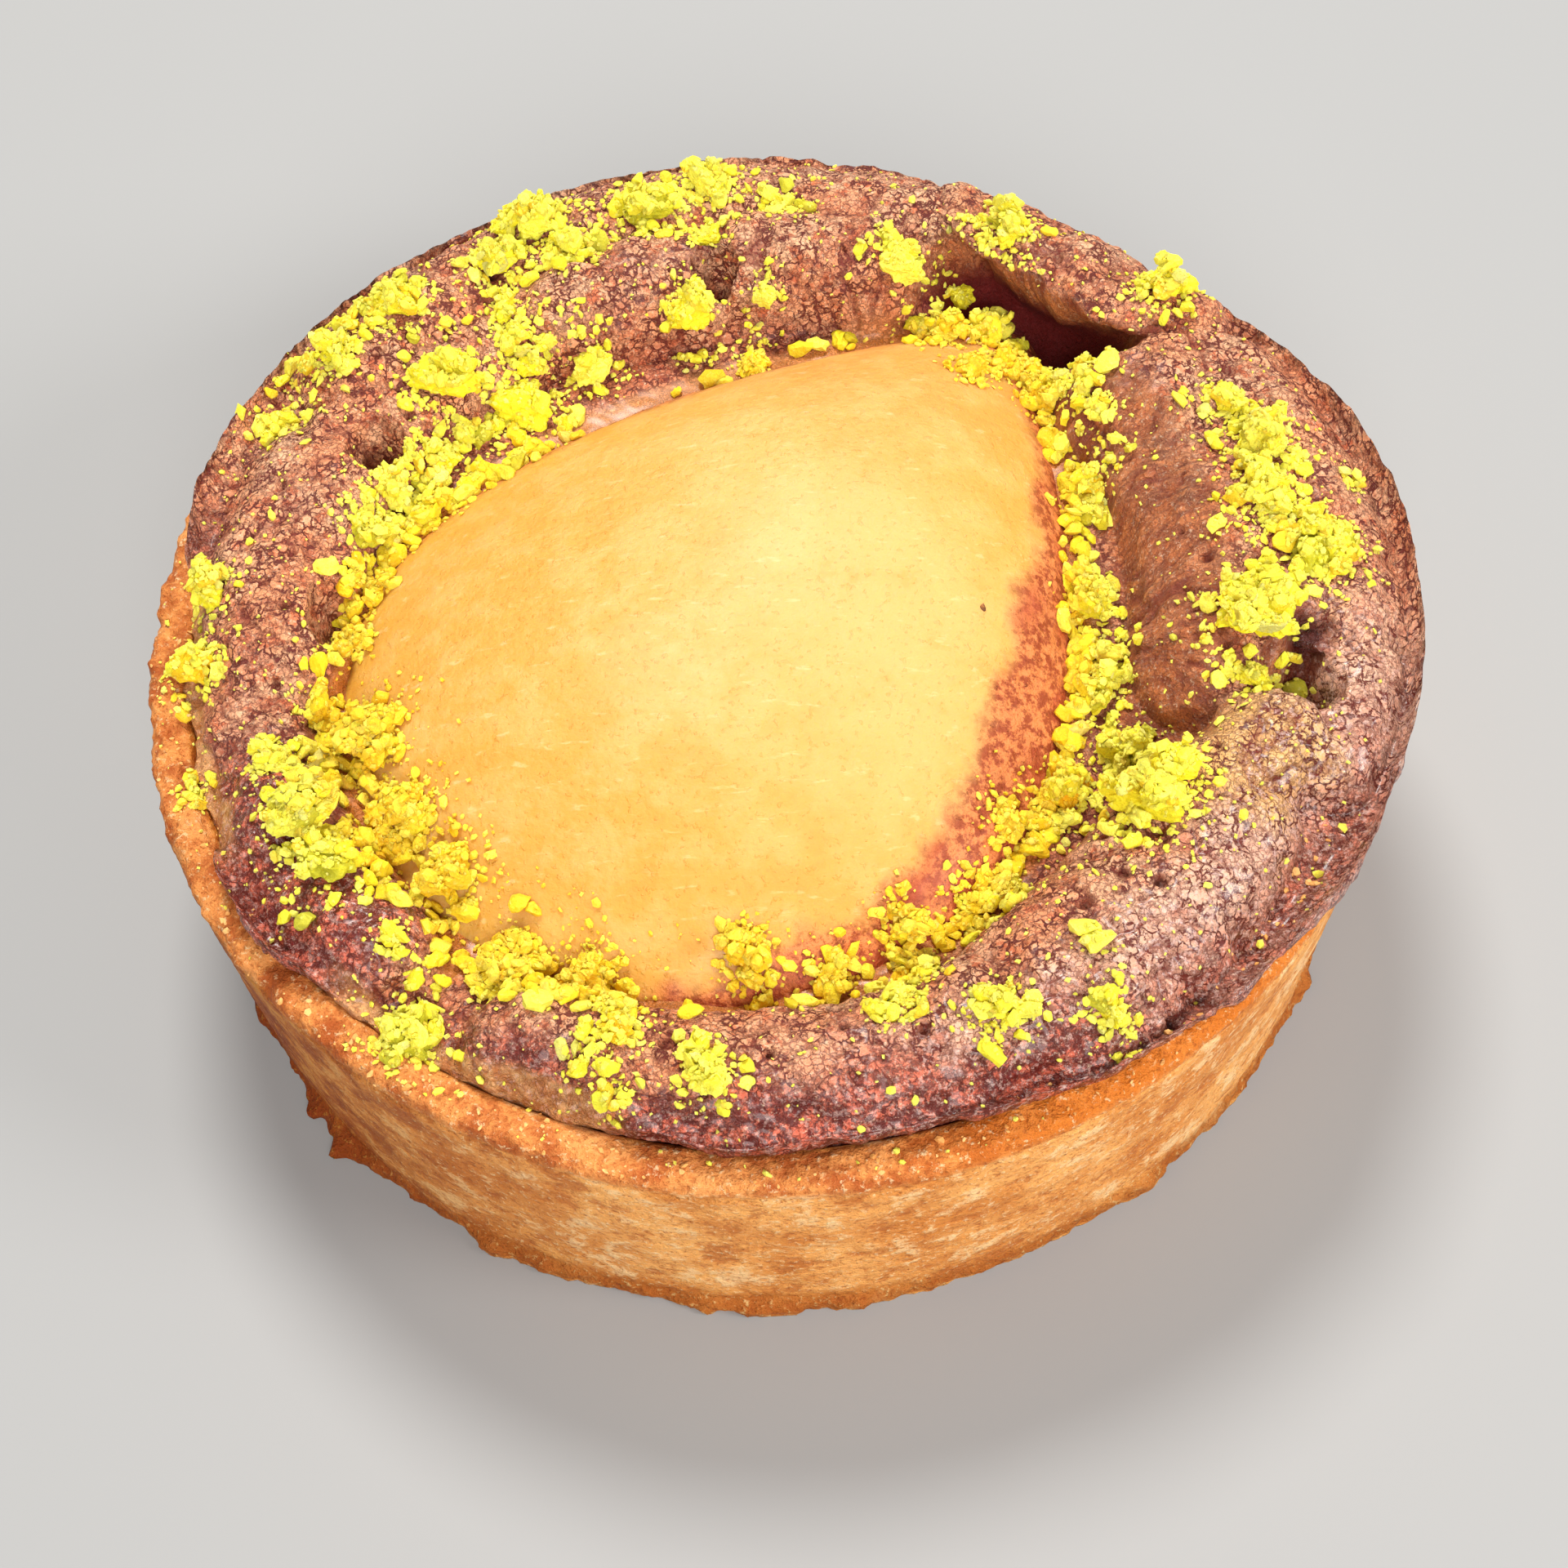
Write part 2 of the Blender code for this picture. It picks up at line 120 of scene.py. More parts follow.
# hollows: degrees, radius, half length round the ring, half width, floor height
hollows = (
    (50, 38.4, 11.5, 4.4, 20.6), (95, 33.4, 2.0, 2.2, 24.6), (152, 35.8, 2.8, 2.4, 24.4),
    (180, 34.6, 3.6, 1.8, 23.5), (343, 42.2, 2.8, 3.4, 23.5),
)
fold = dict(at=49, halfLength=13.0, foot=41.2, reach=4.2, steepness=1.4)
cream = dict(moat=24.8, swellRadius=41.5, swell=26.6, swellReach=10.5, shoulder=5.0)
pearSize = dict(
    x=0.0, y=-0.1, turn=math.radians(53.3), length=81.4, width=57.0,
    taper=(0.485, 0.295, -0.078), bed=20.0, bulge=(0.435, 0.34),
)


# Surfaces
def lipHeight(degrees):
    turn = np.radians(degrees)
    lip = caseSize["height"] + 0.3 * np.sin(2 * turn + 0.6) + 0.2 * np.sin(5 * turn)
    for crack in caseSize["cracks"]:
        lip = lip - 0.9 * bump(angleGap(degrees, crack), 0.0, 1.9)
    return lip


def edgeProfile(degrees):
    at = np.mod(degrees, 360.0)
    index = np.clip(np.searchsorted(creamEdge[:, 0], at, side="left") - 1, 0, len(creamEdge) - 2)
    before, after = creamEdge[index], creamEdge[index + 1]
    share = ease(before[..., 0], after[..., 0], at)
    radius = before[..., 1] + (after[..., 1] - before[..., 1]) * share
    curl = before[..., 2] + (after[..., 2] - before[..., 2]) * share
    x, y = ring(degrees, 50.0)
    return radius + 0.35 * wander(x, y, 3.1, 9.0) * ease(47.0, 49.0, radius), curl


def edgeLines(degrees):
    # radius, height, amount of overhang and height of the underside
    radius, curl = edgeProfile(degrees)
    over = ease(46.5, 47.3, radius)
    lip = lipHeight(degrees)
    top = lip + over * (gap + curl) - (1.0 - over) * 0.15
    under = lip + over * gap - (1.0 - over) * 1.2
    return radius, top, over, under


def creamField(degrees, radius):
    away = np.abs(radius - cream["swellRadius"]) / cream["swellReach"]
    moat = cream["moat"]
    height = moat + (cream["swell"] - moat) * (1.0 - ease(0.0, 1.0, away))
    for start, end, inner, outer, halfWidth, crest in lobes:
        along = angleGap(degrees, (start + end) / 2.0)
        half = (end - start) / 2.0
        share = np.clip((along + half) / (2.0 * half), 0.0, 1.0)
        beyond = np.radians(np.maximum(0.0, np.abs(along) - half)) * radius
        offset = np.hypot(beyond, radius - inner - (outer - inner) * share) / halfWidth
        dome = moat + (crest - moat) * np.maximum(0.0, 1.0 - offset**2.4) ** 0.6
        height = np.where(offset < 1.0, np.maximum(height, dome), height)
    for angle, middle, halfLength, halfWidth, floor in hollows:
        along = np.radians(angleGap(degrees, angle)) * middle / halfLength
        offset = np.hypot(along, (radius - middle) / halfWidth)
        carved = height + (floor - height) * np.maximum(0.0, 1.0 - offset**3) ** 1.3
        height = np.where(offset < 1.0, np.minimum(height, carved), height)
    return height


def creamHeight(degrees, radius):
    x, y = ring(degrees, radius)
    crags = 0.5 * wander(x, y, 0.0, 7.0) + 0.35 * wander(x, y, 5.0, 3.2)
    height = creamField(degrees, radius) + crags * ease(24.0, 32.0, radius)
    edge, low, _, _ = edgeLines(degrees)
    rounded = np.clip((radius - edge + cream["shoulder"]) / cream["shoulder"], 0.0, 1.0)
    return low + (height - low) * (1.0 - rounded**2.2) ** 0.55


def creamPoint(degrees, radius):
    height = creamHeight(degrees, radius)
    along = np.radians(angleGap(degrees, fold["at"])) * radius / fold["halfLength"]
    crown = fold["foot"] + fold["steepness"]
    lean = ease(fold["foot"], crown, radius) * (1.0 - ease(crown, caseSize["rim"] - 1.0, radius))
    reach = fold["reach"] * lean * np.maximum(0.0, 1.0 - along**4)
    x, y = ring(degrees, radius - reach)
    return np.stack((x, y, height), -1)


def pearHalfWidth(cosine):
    first, second, third = pearSize["taper"]
    taper = 1.0 - first * cosine - second * cosine**2 - third * cosine**3
    return pearSize["width"] / 2.0 * taper * np.sqrt(np.maximum(0.0, 1.0 - cosine**2))


def pearOutline(height):
    # radius of the pear from the tart's middle, at every degree, at one height
    cosine = -np.cos(np.linspace(0.0, np.pi, 721))
    width = pearHalfWidth(cosine)
    wide, gain = pearSize["bulge"]
    rise = width * (wide + gain * ease(-0.2, 1.0, cosine))
    side = width * np.sqrt(np.maximum(0.0, 1.0 - ((height - pearSize["bed"]) / np.maximum(rise, 1e-6)) ** 2))
    along = np.concatenate((cosine, cosine[::-1])) * pearSize["length"] / 2.0
    across = np.concatenate((side, -side[::-1]))
    sin, cos = math.sin(pearSize["turn"]), math.cos(pearSize["turn"])
    x = pearSize["x"] + along * cos - across * sin
    y = pearSize["y"] + along * sin + across * cos
    degrees = np.degrees(np.arctan2(y, x)) % 360.0
    order = np.argsort(degrees)
    return np.interp(np.arange(361.0), degrees[order], np.hypot(x, y)[order], period=360.0)


moatLine = pearOutline(cream["moat"])


def pearEdge(degrees):
    return np.interp(np.mod(degrees, 360.0), np.arange(361.0), moatLine)


# Meshes
def place(piece):
    bpy.context.scene.collection.objects.link(piece)
    return piece


def newPiece(name, bm):
    mesh = bpy.data.meshes.new(name)
    bm.to_mesh(mesh)
    bm.free()
    mesh.shade_smooth()
    return place(bpy.data.objects.new(name, mesh))


def rolledGrid(name, around, along, pointsOf):
    # a grid rolled into a ring: pointsOf(degrees, row) gives each point, and both ends are capped
    bm = bmesh.new()
    bmesh.ops.create_grid(bm, x_segments=around, y_segments=along - 1, size=0.5)
    flat = np.array([v.co[:] for v in bm.verts])
    degrees = (flat[:, 0] + 0.5) * 360.0
    rows = np.rint((flat[:, 1] + 0.5) * (along - 1)).astype(int)
    for vert, point in zip(bm.verts, (pointsOf(degrees, rows) * mm).tolist()):
        vert.co = point
    bmesh.ops.remove_doubles(bm, verts=bm.verts, dist=1e-6)
    bmesh.ops.holes_fill(bm, edges=[e for e in bm.edges if e.is_boundary], sides=0)
    bmesh.ops.recalc_face_normals(bm, faces=bm.faces)
    return newPiece(name, bm)


def coordinates(mesh):
    values = np.empty(len(mesh.vertices) * 3)
    mesh.vertices.foreach_get("co", values)
    return values.reshape(-1, 3)


def normals(mesh):
    values = np.empty(len(mesh.vertices) * 3, np.float32)
    mesh.vertex_normals.foreach_get("vector", values)
    return values.reshape(-1, 3).astype(float)


def moveTo(piece, points):
    piece.data.vertices.foreach_set("co", points.ravel())
    piece.data.update()


def polar(piece):
    # where each vertex is in millimetres, how far from the middle and at which degree
    at = coordinates(piece.data) / mm
    return at, np.hypot(at[:, 0], at[:, 1]), np.degrees(np.arctan2(at[:, 1], at[:, 0]))


def sculpt(piece, heights):
    # moves each vertex along its normal, heights in millimetres
    moveTo(piece, coordinates(piece.data) + normals(piece.data) * (heights * mm)[:, None])


def keepInside(piece):
    # the dressed tart is never larger than its solids
    low, high = (np.array(corner) for corner in cadBox)
    inside = np.clip(coordinates(piece.data), low + 1e-5, high - 1e-5)
    inside[:, 2] = np.maximum(inside[:, 2], 0.0)
    moveTo(piece, inside)


def paint(piece, **masks):
    # named values, one for each vertex
    for name, values in masks.items():
        layer = piece.data.attributes.new(name, "FLOAT", "POINT")
        layer.data.foreach_set("value", np.asarray(values, np.float32))


def paintColour(piece, name, colours):
    layer = piece.data.attributes.new(name, "FLOAT_COLOR", "POINT")
    rgba = np.concatenate((colours, np.ones((len(colours), 1))), 1)
    layer.data.foreach_set("color", rgba.astype(np.float32).ravel())


# Node helpers
class Shader:
    # a material built link by link, with its colours named
    def __init__(self, name, **hues):
        self.material = bpy.data.materials.new(name)
        self.material.use_nodes = True
        self.tree = self.material.node_tree
        self.surface = self.tree.nodes["Principled BSDF"]
        self.place = self.tree.nodes.new("ShaderNodeTexCoord").outputs["Object"]
        self.hues = hues
        self.colour = None

    def add(self, kind, inputs=(), **settings):
        node = self.tree.nodes.new(kind)
        for key, value in settings.items():
            setattr(node, key, value)
        for key, value in dict(inputs).items():
            self.feed(node.inputs[key], value)
        return node

    def feed(self, socket, value):
        if isinstance(value, bpy.types.NodeSocket):
            self.tree.links.new(value, socket)
        else:
            socket.default_value = value

    def fix(self, **values):
        for key, value in values.items():
            self.feed(self.surface.inputs[key.replace("_", " ")], value)

    def attribute(self, name, output="Fac"):
        return self.add("ShaderNodeAttribute", attribute_name=name).outputs[output]

    def noise(self, size, detail=4.0, roughness=0.55, place=None):
        # size is the feature size in metres
        place = place or self.place
        inputs = {"Vector": place, "Scale": 1.0 / size, "Detail": detail, "Roughness": roughness}
        return self.add("ShaderNodeTexNoise", inputs).outputs["Fac"]

    def cells(self, size, place):
        # distance to the nearest crack between cells
        inputs = {"Vector": place, "Scale": 1.0 / size}
        return self.add("ShaderNodeTexVoronoi", inputs, feature="DISTANCE_TO_EDGE").outputs["Distance"]

    def stretched(self, scale, turn=0.0):
        inputs = {"Vector": self.place, "Rotation": (0.0, 0.0, turn), "Scale": scale}
        return self.add("ShaderNodeMapping", inputs).outputs["Vector"]

    def warped(self, size, amount, detail=2.0):
        # the object's own place, pushed about by noise
        push = self.add("ShaderNodeTexNoise", {"Vector": self.place, "Scale": 1.0 / size, "Detail": detail})
        sides = {0: push.outputs["Color"], 1: (0.5, 0.5, 0.5)}
        centred = self.add("ShaderNodeVectorMath", sides, operation="SUBTRACT").outputs[0]
        scaled = self.add("ShaderNodeVectorMath", {0: centred, "Scale": amount}, operation="SCALE").outputs[0]
        return self.add("ShaderNodeVectorMath", {0: self.place, 1: scaled}).outputs[0]

    def span(self, value, low, high, toLow=0.0, toHigh=1.0):
        inputs = {"Value": value, "From Min": low, "From Max": high, "To Min": toLow, "To Max": toHigh}
        return self.add("ShaderNodeMapRange", inputs, interpolation_type="SMOOTHSTEP").outputs["Result"]

    def math(self, operation, first, second=0.0):
        return self.add("ShaderNodeMath", {0: first, 1: second}, operation=operation).outputs[0]

    def times(self, first, second):
        return self.math("MULTIPLY", first, second)

    def most(self, first, second):
        return self.math("MAXIMUM", first, second)

    def share(self, name, amount):
        return self.times(self.attribute(name), amount)

    def mix(self, share, first, second, blend="MIX"):
        # first and second are sockets, or names of colours
        node = self.add("ShaderNodeMix", data_type="RGBA", blend_type=blend, clamp_factor=True)
        for number, value in ((0, share), (6, first), (7, second)):
            self.feed(node.inputs[number], (*self.hues[value], 1.0) if isinstance(value, str) else value)
        return node.outputs[2]

    def tint(self, share, tone, blend="MIX"):
        # one more layer over the colour so far
        self.colour = self.mix(share, self.colour, tone, blend)

    def reliefs(self, *rows):
        # each row: height, its depth in metres and its strength, from the broadest to the finest
        normal = None
        for height, depth, strength in rows:
            inputs = {"Height": height, "Distance": depth, "Strength": strength}
            if normal is not None:
                inputs["Normal"] = normal
            normal = self.add("ShaderNodeBump", inputs).outputs["Normal"]
        self.fix(Normal=normal)


def dress(piece, shader, slotName, *nodes):
    piece.data.materials.clear()
    piece.data.materials.append(shader.material)
    if nodes:
        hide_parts(*nodes)
    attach(piece, "root")


# Pastry case
print("pastry case")
crust = dict(
    around=900, bottomRows=4, wallRows=70, lipRows=22, lipRise=1.4,
    creaseDrop=1.5, creaseDepth=0.22, creaseWidth=0.3, bottom=(20.0, 36.0, 44.0, 47.6),
    inside=(19.0, 12.0, caseSize["floor"]),
)


def footReach(x, y, rise):
    # a crumbly flange with torn flakes 1 to 4 mm wide, uneven in width and height
    broad = 0.75 * ease(-0.1, 0.35, wander(x, y, 5.0, 8.0))
    broad = broad * (0.5 + ease(-0.2, 0.3, wander(x, y, 0.5 * rise, 2.8)))
    flakes = 0.26 * wander(x, y, rise, 1.7, 4.0) + 0.20 * wander(x, y, 1.5 * rise, 0.8, 9.0)
    return np.maximum(0.0, 0.28 + broad + flakes)


def crustPoints(degrees, rows):
    lip = lipHeight(degrees)
    x, y = ring(degrees, 50.0)
    bottomRows, bend = crust["bottomRows"], crust["lipRise"]
    wallEnd = bottomRows + crust["wallRows"]
    lipEnd = wallEnd + crust["lipRows"]
    rise = np.clip((rows - bottomRows) / (crust["wallRows"] - 1.0), 0.0, 1.0) ** 1.2 * (lip - bend)

    # outside of the wall
    sway = 0.25 * wander(x, y, rise, 16.0) + 0.12 * wander(x, y, rise, 5.0, 7.0)
    torn = 1.0 + 1.1 * bump(angleGap(degrees, caseSize["tornFoot"]), 0.0, 3.0)
    thick = 1.9 + 0.9 * wander(x, y, 9.0, 4.0)
    foot = caseSize["foot"] * footReach(x, y, rise) * torn * (1.0 - ease(0.35, 1.0, rise / thick))
    creaseAt = lip - crust["creaseDrop"] - 0.35 + 0.35 * wander(x, y, 40.0, 12.0)
    crease = crust["creaseDepth"] * bump(rise, creaseAt, crust["creaseWidth"])
    outer = caseSize["base"] + (caseSize["rim"] - caseSize["base"]) * rise / caseSize["height"]
    outer = outer + sway + foot - crease

    # rounded lip, from the outside over to the inside
    share = np.clip((rows - wallEnd + 1.0) / crust["lipRows"], 0.0, 1.0) * np.pi
    half = (caseSize["wall"] + 0.3) / 2.0
    flat = np.sign(np.cos(share)) * np.abs(np.cos(share)) ** 0.85
    lipRadius = caseSize["rim"] - 0.1 - half + half * flat
    lipRise = lip - bend + bend * np.abs(np.sin(share)) ** 0.75
    lipRadius = lipRadius + sway * (1.0 - ease(0.0, np.pi, share))

    radius = np.where(rows < wallEnd, outer, lipRadius)
    height = np.where(rows < wallEnd, rise, lipRise)
    inside = rows - lipEnd
    radius = np.where(inside >= 0, innerRadius - 0.2, radius)
    for row, level in enumerate(crust["inside"]):
        height = np.where(inside >= row, level, height)
    radius = np.where(rows < bottomRows, np.array(crust["bottom"])[np.clip(rows, 0, 3)], radius)
    height = np.where(rows < bottomRows, 0.0, height)
    x, y = ring(degrees, radius)
    return np.stack((x, y, height), -1)


crustRows = crust["bottomRows"] + crust["wallRows"] + crust["lipRows"] + len(crust["inside"])
case = rolledGrid("crust", crust["around"], crustRows, crustPoints)
at, radius, degrees = polar(case)
outside = ease(46.6, 47.2, radius) * ease(0.02, 0.3, at[:, 2])
onLip = outside * ease(-1.9, -0.6, at[:, 2] - lipHeight(degrees))
onFoot = outside * (1.0 - ease(0.9, 3.4, at[:, 2]))
grain, fine, lumps = field(at, 1.1), field(at, 0.55, 3.0), field(at, 2.6, 9.0)
# how uneven each part is, in millimetres: where, then grain, finer grain and lumps
uneven = (
    (outside, 0.06, 0.05, 0.09), (onLip, 0.14, 0.12, 0.12),
    (onLip * sector(degrees, 190, 46.0, 20.0), 0.15, 0.0, 0.35), (onFoot, 0.12, 0.12, 0.0),
)
sculpt(case, sum(where * (a * grain + b * fine + c * lumps) for where, a, b, c in uneven))
keepInside(case)
# shade: painted shade down the left of the wall, away from the lamps, kept off the lip
paint(case, lip=onLip, foot=onFoot, seam=onLip * sector(degrees, 308, 34.0, 14.0),
      shade=sector(degrees, 205, 50.0, 10.0) * (1.0 - 0.85 * onLip))

pastry = Shader(
    "baked pastry", amber=(0.70, 0.240, 0.042), gold=(0.97, 0.45, 0.122), spot=(0.50, 0.130, 0.018),
    fleck=(1.0, 0.64, 0.30), streak=(0.52, 0.15, 0.022), shade=(0.30, 0.070, 0.006),
    foot=(0.50, 0.145, 0.025), lipDark=(0.42, 0.088, 0.015), lipLight=(0.84, 0.315, 0.080),
    seam=(0.74, 0.20, 0.015), darkGrain=(0.38, 0.085, 0.012), lightGrain=(1.0, 0.76, 0.42),
    shadeOver=(0.67, 0.41, 0.07), footOver=(0.68, 0.57, 0.32),
)
drag = pastry.noise(0.0030, 5.0, 0.65, pastry.stretched((1.0, 1.0, 1.8)))
patch = pastry.noise(0.011, 4.0, 0.6)
mottle = pastry.noise(0.0040, 6.0, 0.72, pastry.warped(0.0015, 0.0008))
sand = pastry.noise(0.00055, 4.0, 0.7)
pastry.colour = pastry.mix(pastry.span(patch, 0.36, 0.64), "amber", "gold")
pastry.tint(pastry.span(mottle, 0.48, 0.38, 0.0, 0.7), "spot")
pastry.tint(pastry.span(mottle, 0.53, 0.62, 0.0, 0.8), "fleck")
pastry.tint(pastry.span(drag, 0.45, 0.36, 0.0, 0.30), "streak")
# painted shade on the left of the wall
pastry.tint(pastry.times(pastry.attribute("shade"), pastry.span(mottle, 0.60, 0.42, 0.25, 0.85)), "shade")
pastry.tint(pastry.share("foot", 0.75), "foot")
pastry.tint(pastry.share("lip", 0.9), pastry.mix(pastry.span(mottle, 0.40, 0.60), "lipDark", "lipLight"))
pastry.tint(pastry.share("seam", 0.8), "seam")
pastry.tint(pastry.span(sand, 0.45, 0.35, 0.0, 0.6), "darkGrain")
pastry.tint(pastry.span(sand, 0.56, 0.68, 0.0, 0.6), "lightGrain")
# painted shade again, multiplied over the left of the wall
pastry.tint(pastry.share("shade", 0.9), "shadeOver", "MULTIPLY")
pastry.tint(pastry.share("foot", 0.85), "footOver", "MULTIPLY")
pastry.fix(Base_Color=pastry.colour, Roughness=0.6, Specular_IOR_Level=0.20, Subsurface_Weight=0.10,
           Subsurface_Scale=0.0015, Subsurface_Radius=(1.0, 0.5, 0.25))
pastry.reliefs((mottle, 0.0013, 0.9), (drag, 0.0003, 0.6), (sand, 0.00036, 0.9))
dress(case, pastry, "crust", "case")

# Almond cream
print("almond cream")
creamGrid = dict(around=930, rows=96, underRows=8, inside=3.0, foot=16.0)
pinholes = 150
# small holes in the cream: degrees, radius, width, depth
holes = (
    (152.5, 36.2, 1.3, 1.4), (150.0, 34.8, 1.0, 0.9), (94.9, 36.7, 1.6, 1.6), (304.4, 38.0, 0.8, 1.0),
    (311.9, 40.6, 0.8, 1.0), (309.9, 38.2, 0.7, 0.8), (348.1, 42.6, 2.7, 2.6), (121.0, 44.4, 1.6, 1.2),
    (123.0, 41.1, 1.4, 1.4), (258.0, 41.0, 0.9, 0.8), (283.0, 41.5, 0.8, 0.8), (25.0, 43.5, 1.0, 0.9),
)


def creamPoints(degrees, rows):
    edge, top, over, under = edgeLines(degrees)
    inner, underRows = innerRadius - gap, creamGrid["underRows"]
    # top, from under the pear's edge out to the cream's edge
    start = pearEdge(degrees) - creamGrid["inside"]
    share = np.clip(rows / (creamGrid["rows"] - 1.0), 0.0, 1.0)
    share = 1.0 - (1.0 - share) ** 1.12
    point = creamPoint(degrees, start + (edge - start) * share)
    # rounded lower side, which rests on the lip, and the side that stands in the case
    under = under - 0.22 * over
    step = rows - creamGrid["rows"] + 1.0
    turn = np.clip(step / (underRows - 3.0), 0.0, 1.0) * np.pi / 2.0
    tuck = np.maximum(inner, edge - 0.6 * over * (1.0 - np.cos(turn)))
    x, y = ring(degrees, tuck)
    lower = np.stack((x, y, top + (under - top) * np.sin(turn)), -1)
    point = np.where((step > 0)[:, None], lower, point)
    x, y = ring(degrees, inner)
    foot = np.full_like(under, creamGrid["foot"])
    for number, level in ((underRows - 2.0, under - 0.05), (underRows - 1.0, foot)):
        point = np.where((step >= number)[:, None], np.stack((x, y, level), -1), point)
    return point


creamRows = creamGrid["rows"] + creamGrid["underRows"] - 1
filling = rolledGrid("cream", creamGrid["around"], creamRows, creamPoints)
at, radius, degrees = polar(filling)
fromPear = radius - pearEdge(degrees)
showing = ease(0.0, 1.5, fromPear) * ease(-0.6, 0.3, at[:, 2] - edgeLines(degrees)[3])
lumps = 0.42 * field(at, 3.6, 11.0) + 0.28 * field(at, 1.7, 5.0) + 0.17 * field(at, 0.8, 15.0)
# creases where slow noise crosses zero, and wrinkles that run down the steep faces
creases = ease(0.14, 0.0, np.abs(field(at, 3.0, 21.0))) * ease(-0.1, 0.3, field(at, 6.0, 3.0))
swayed = degrees + 5.0 * field(at, 6.0, 8.0)
wrinkle = wander(swayed * 0.55, at[:, 2] * 0.30, radius * 0.14, 1.3, 2.0)
steep = ease(0.2, 0.6, 1.0 - normals(filling.data)[:, 2]) * ease(46.0, 43.0, radius)
steep *= sector(degrees, 8, 62.0, 30.0)
draw = random.Random(17)
pits = list(holes)
for _ in range(pinholes):
    angle, middle = draw.uniform(0.0, 360.0), draw.uniform(33.0, 48.5)
    pits.append((angle, middle, draw.uniform(0.3, 0.75), draw.uniform(0.3, 0.8)))
sunk = np.zeros(len(at))
for angle, middle, width, depth in pits:
    x, y = ring(angle, middle)
    away = np.hypot(at[:, 0] - x, at[:, 1] - y)
    if width > 1.2:  # the larger ones are ragged
        away *= 1.0 + 0.35 * wander(at[:, 0], at[:, 1], 0.0, width * 1.2, middle)
    sunk = np.maximum(sunk, depth * ease(width, 0.25 * width, away))
sculpt(filling, showing * (lumps + 0.22 * wrinkle * steep - 0.28 * creases - sunk))
keepInside(filling)

# darker stretches: degrees, wide, narrow, from and to which radius, raggedness, strength
darkStretches = (
    (268, 46.0, 26.0, 41.5, 46.0, 1.6, 1.0), (312, 40.0, 15.0, 44.0, 48.0, 1.6, 0.6),
    (213, 20.0, 12.0, 36.5, 40.0, 1.5, 1.0), (184, 24.0, 12.0, 44.0, 46.5, 1.4, 0.8),
)
blotch = field(at, 4.0, 14.0)
dark = ease(0.15, 0.5, wander(at[:, 0], at[:, 1], 0.0, 9.0, 4.0) + 0.4 * blotch) * 0.20
for middle, wide, narrow, start, end, ragged, strength in darkStretches:
    stretch = ease(start, end, radius + ragged * blotch) * sector(degrees, middle, wide, narrow)
    dark = np.maximum(dark, stretch * strength)
fromHump = np.hypot(at[:, 0] - 36.0, at[:, 1] + 20.0)
slope = 1.0 - normals(filling.data)[:, 2]
wall = ease(0.22, 0.55, slope) * ease(44.0, 41.0, radius) * sector(degrees, 5, 75.0, 45.0)
tall = ease(27.6, 29.4, radius + 0.5 * blotch) * ease(38.0, 35.0, radius + blotch)
rimBand = np.maximum(sector(degrees, 190, 20.0, 13.0), sector(degrees, 240, 17.0, 11.0))
paint(
    filling,
    dark=np.clip(dark + 0.10 * blotch, 0.0, 1.0),
    hump=ease(7.5, 3.5, fromHump + 1.5 * blotch) * ease(27.0, 29.0, at[:, 2]),
    # the hollow under the overhanging fold: partly its own dark red, partly painted shade
    cave=sector(degrees, 50, 13.0 / 0.7, 9.0 / 0.7) * ease(28.5, 25.0, at[:, 2]) * ease(34.0, 36.0, radius),
    wet=ease(3.0, 0.5, fromPear) * ease(27.6, 26.2, at[:, 2]),
    wall=np.maximum(wall, 0.9 * (tall * sector(degrees, 3, 40.0, 28.0))),
    tan=rimBand * ease(44.9, 45.6, radius + 0.4 * blotch),
    # glossy cream at the front right; its lighter, pinker colour is a painted sheen
    glaze=ease(38.0, 42.5, radius + blotch) * sector(degrees, 314, 48.0, 26.0),
    # painted shade in the dips between lumps and low down towards the hollow round the pear
    valley=np.maximum(ease(-0.02, -0.42, lumps), 0.8 * ease(27.4, 25.6, at[:, 2]) * ease(1.0, 3.0, fromPear)),
    # painted shade deep inside the larger holes
    pit=ease(0.7, 1.6, sunk),
    lick=ease(2.6, 1.2, fromPear + 0.5 * blotch) * sector(degrees, 108, 44.0, 30.0),
    # painted shade in the creases, holes and wrinkle troughs
    groove=np.clip(creases + ease(0.1, 0.5, sunk) + steep * ease(0.0, -0.35, wrinkle), 0.0, 1.0),
    arc=np.radians(swayed) * 38.0 * mm,
    out=radius * 0.30 * mm,
)

crumb = Shader(
    "baked almond cream", rose=(1.0, 0.39, 0.175), sandy=(1.0, 0.525, 0.29), brown=(0.78, 0.20, 0.075),
    darkest=(0.17, 0.007, 0.004), russet=(0.84, 0.165, 0.085), glaze=(1.0, 0.60, 0.43),
    valley=(0.42, 0.060, 0.020), wallDark=(0.25, 0.046, 0.007), wallLight=(0.70, 0.210, 0.052),
    hump=(1.0, 0.55, 0.18), darkGrain=(0.36, 0.055, 0.020), lightGrain=(1.0, 0.71, 0.49),
    crack=(0.15, 0.012, 0.005), groove=(0.26, 0.030, 0.014), rimDark=(0.60, 0.20, 0.05),
    rimLight=(0.94, 0.48, 0.18), lick=(1.0, 0.52, 0.27), sparkle=(1.0, 0.64, 0.54),
    wet=(0.80, 0.26, 0.035), cave=(0.17, 0.002, 0.001), pit=(0.10, 0.010, 0.004),
)
cracks = crumb.cells(0.00100, crumb.warped(0.0008, 0.0016, 5.0))
fineCracks = crumb.cells(0.00052, crumb.warped(0.0004, 0.0007, 4.0))
veins = crumb.math("ABSOLUTE", crumb.math("SUBTRACT", crumb.noise(0.0019, 6.0, 0.68), 0.5))
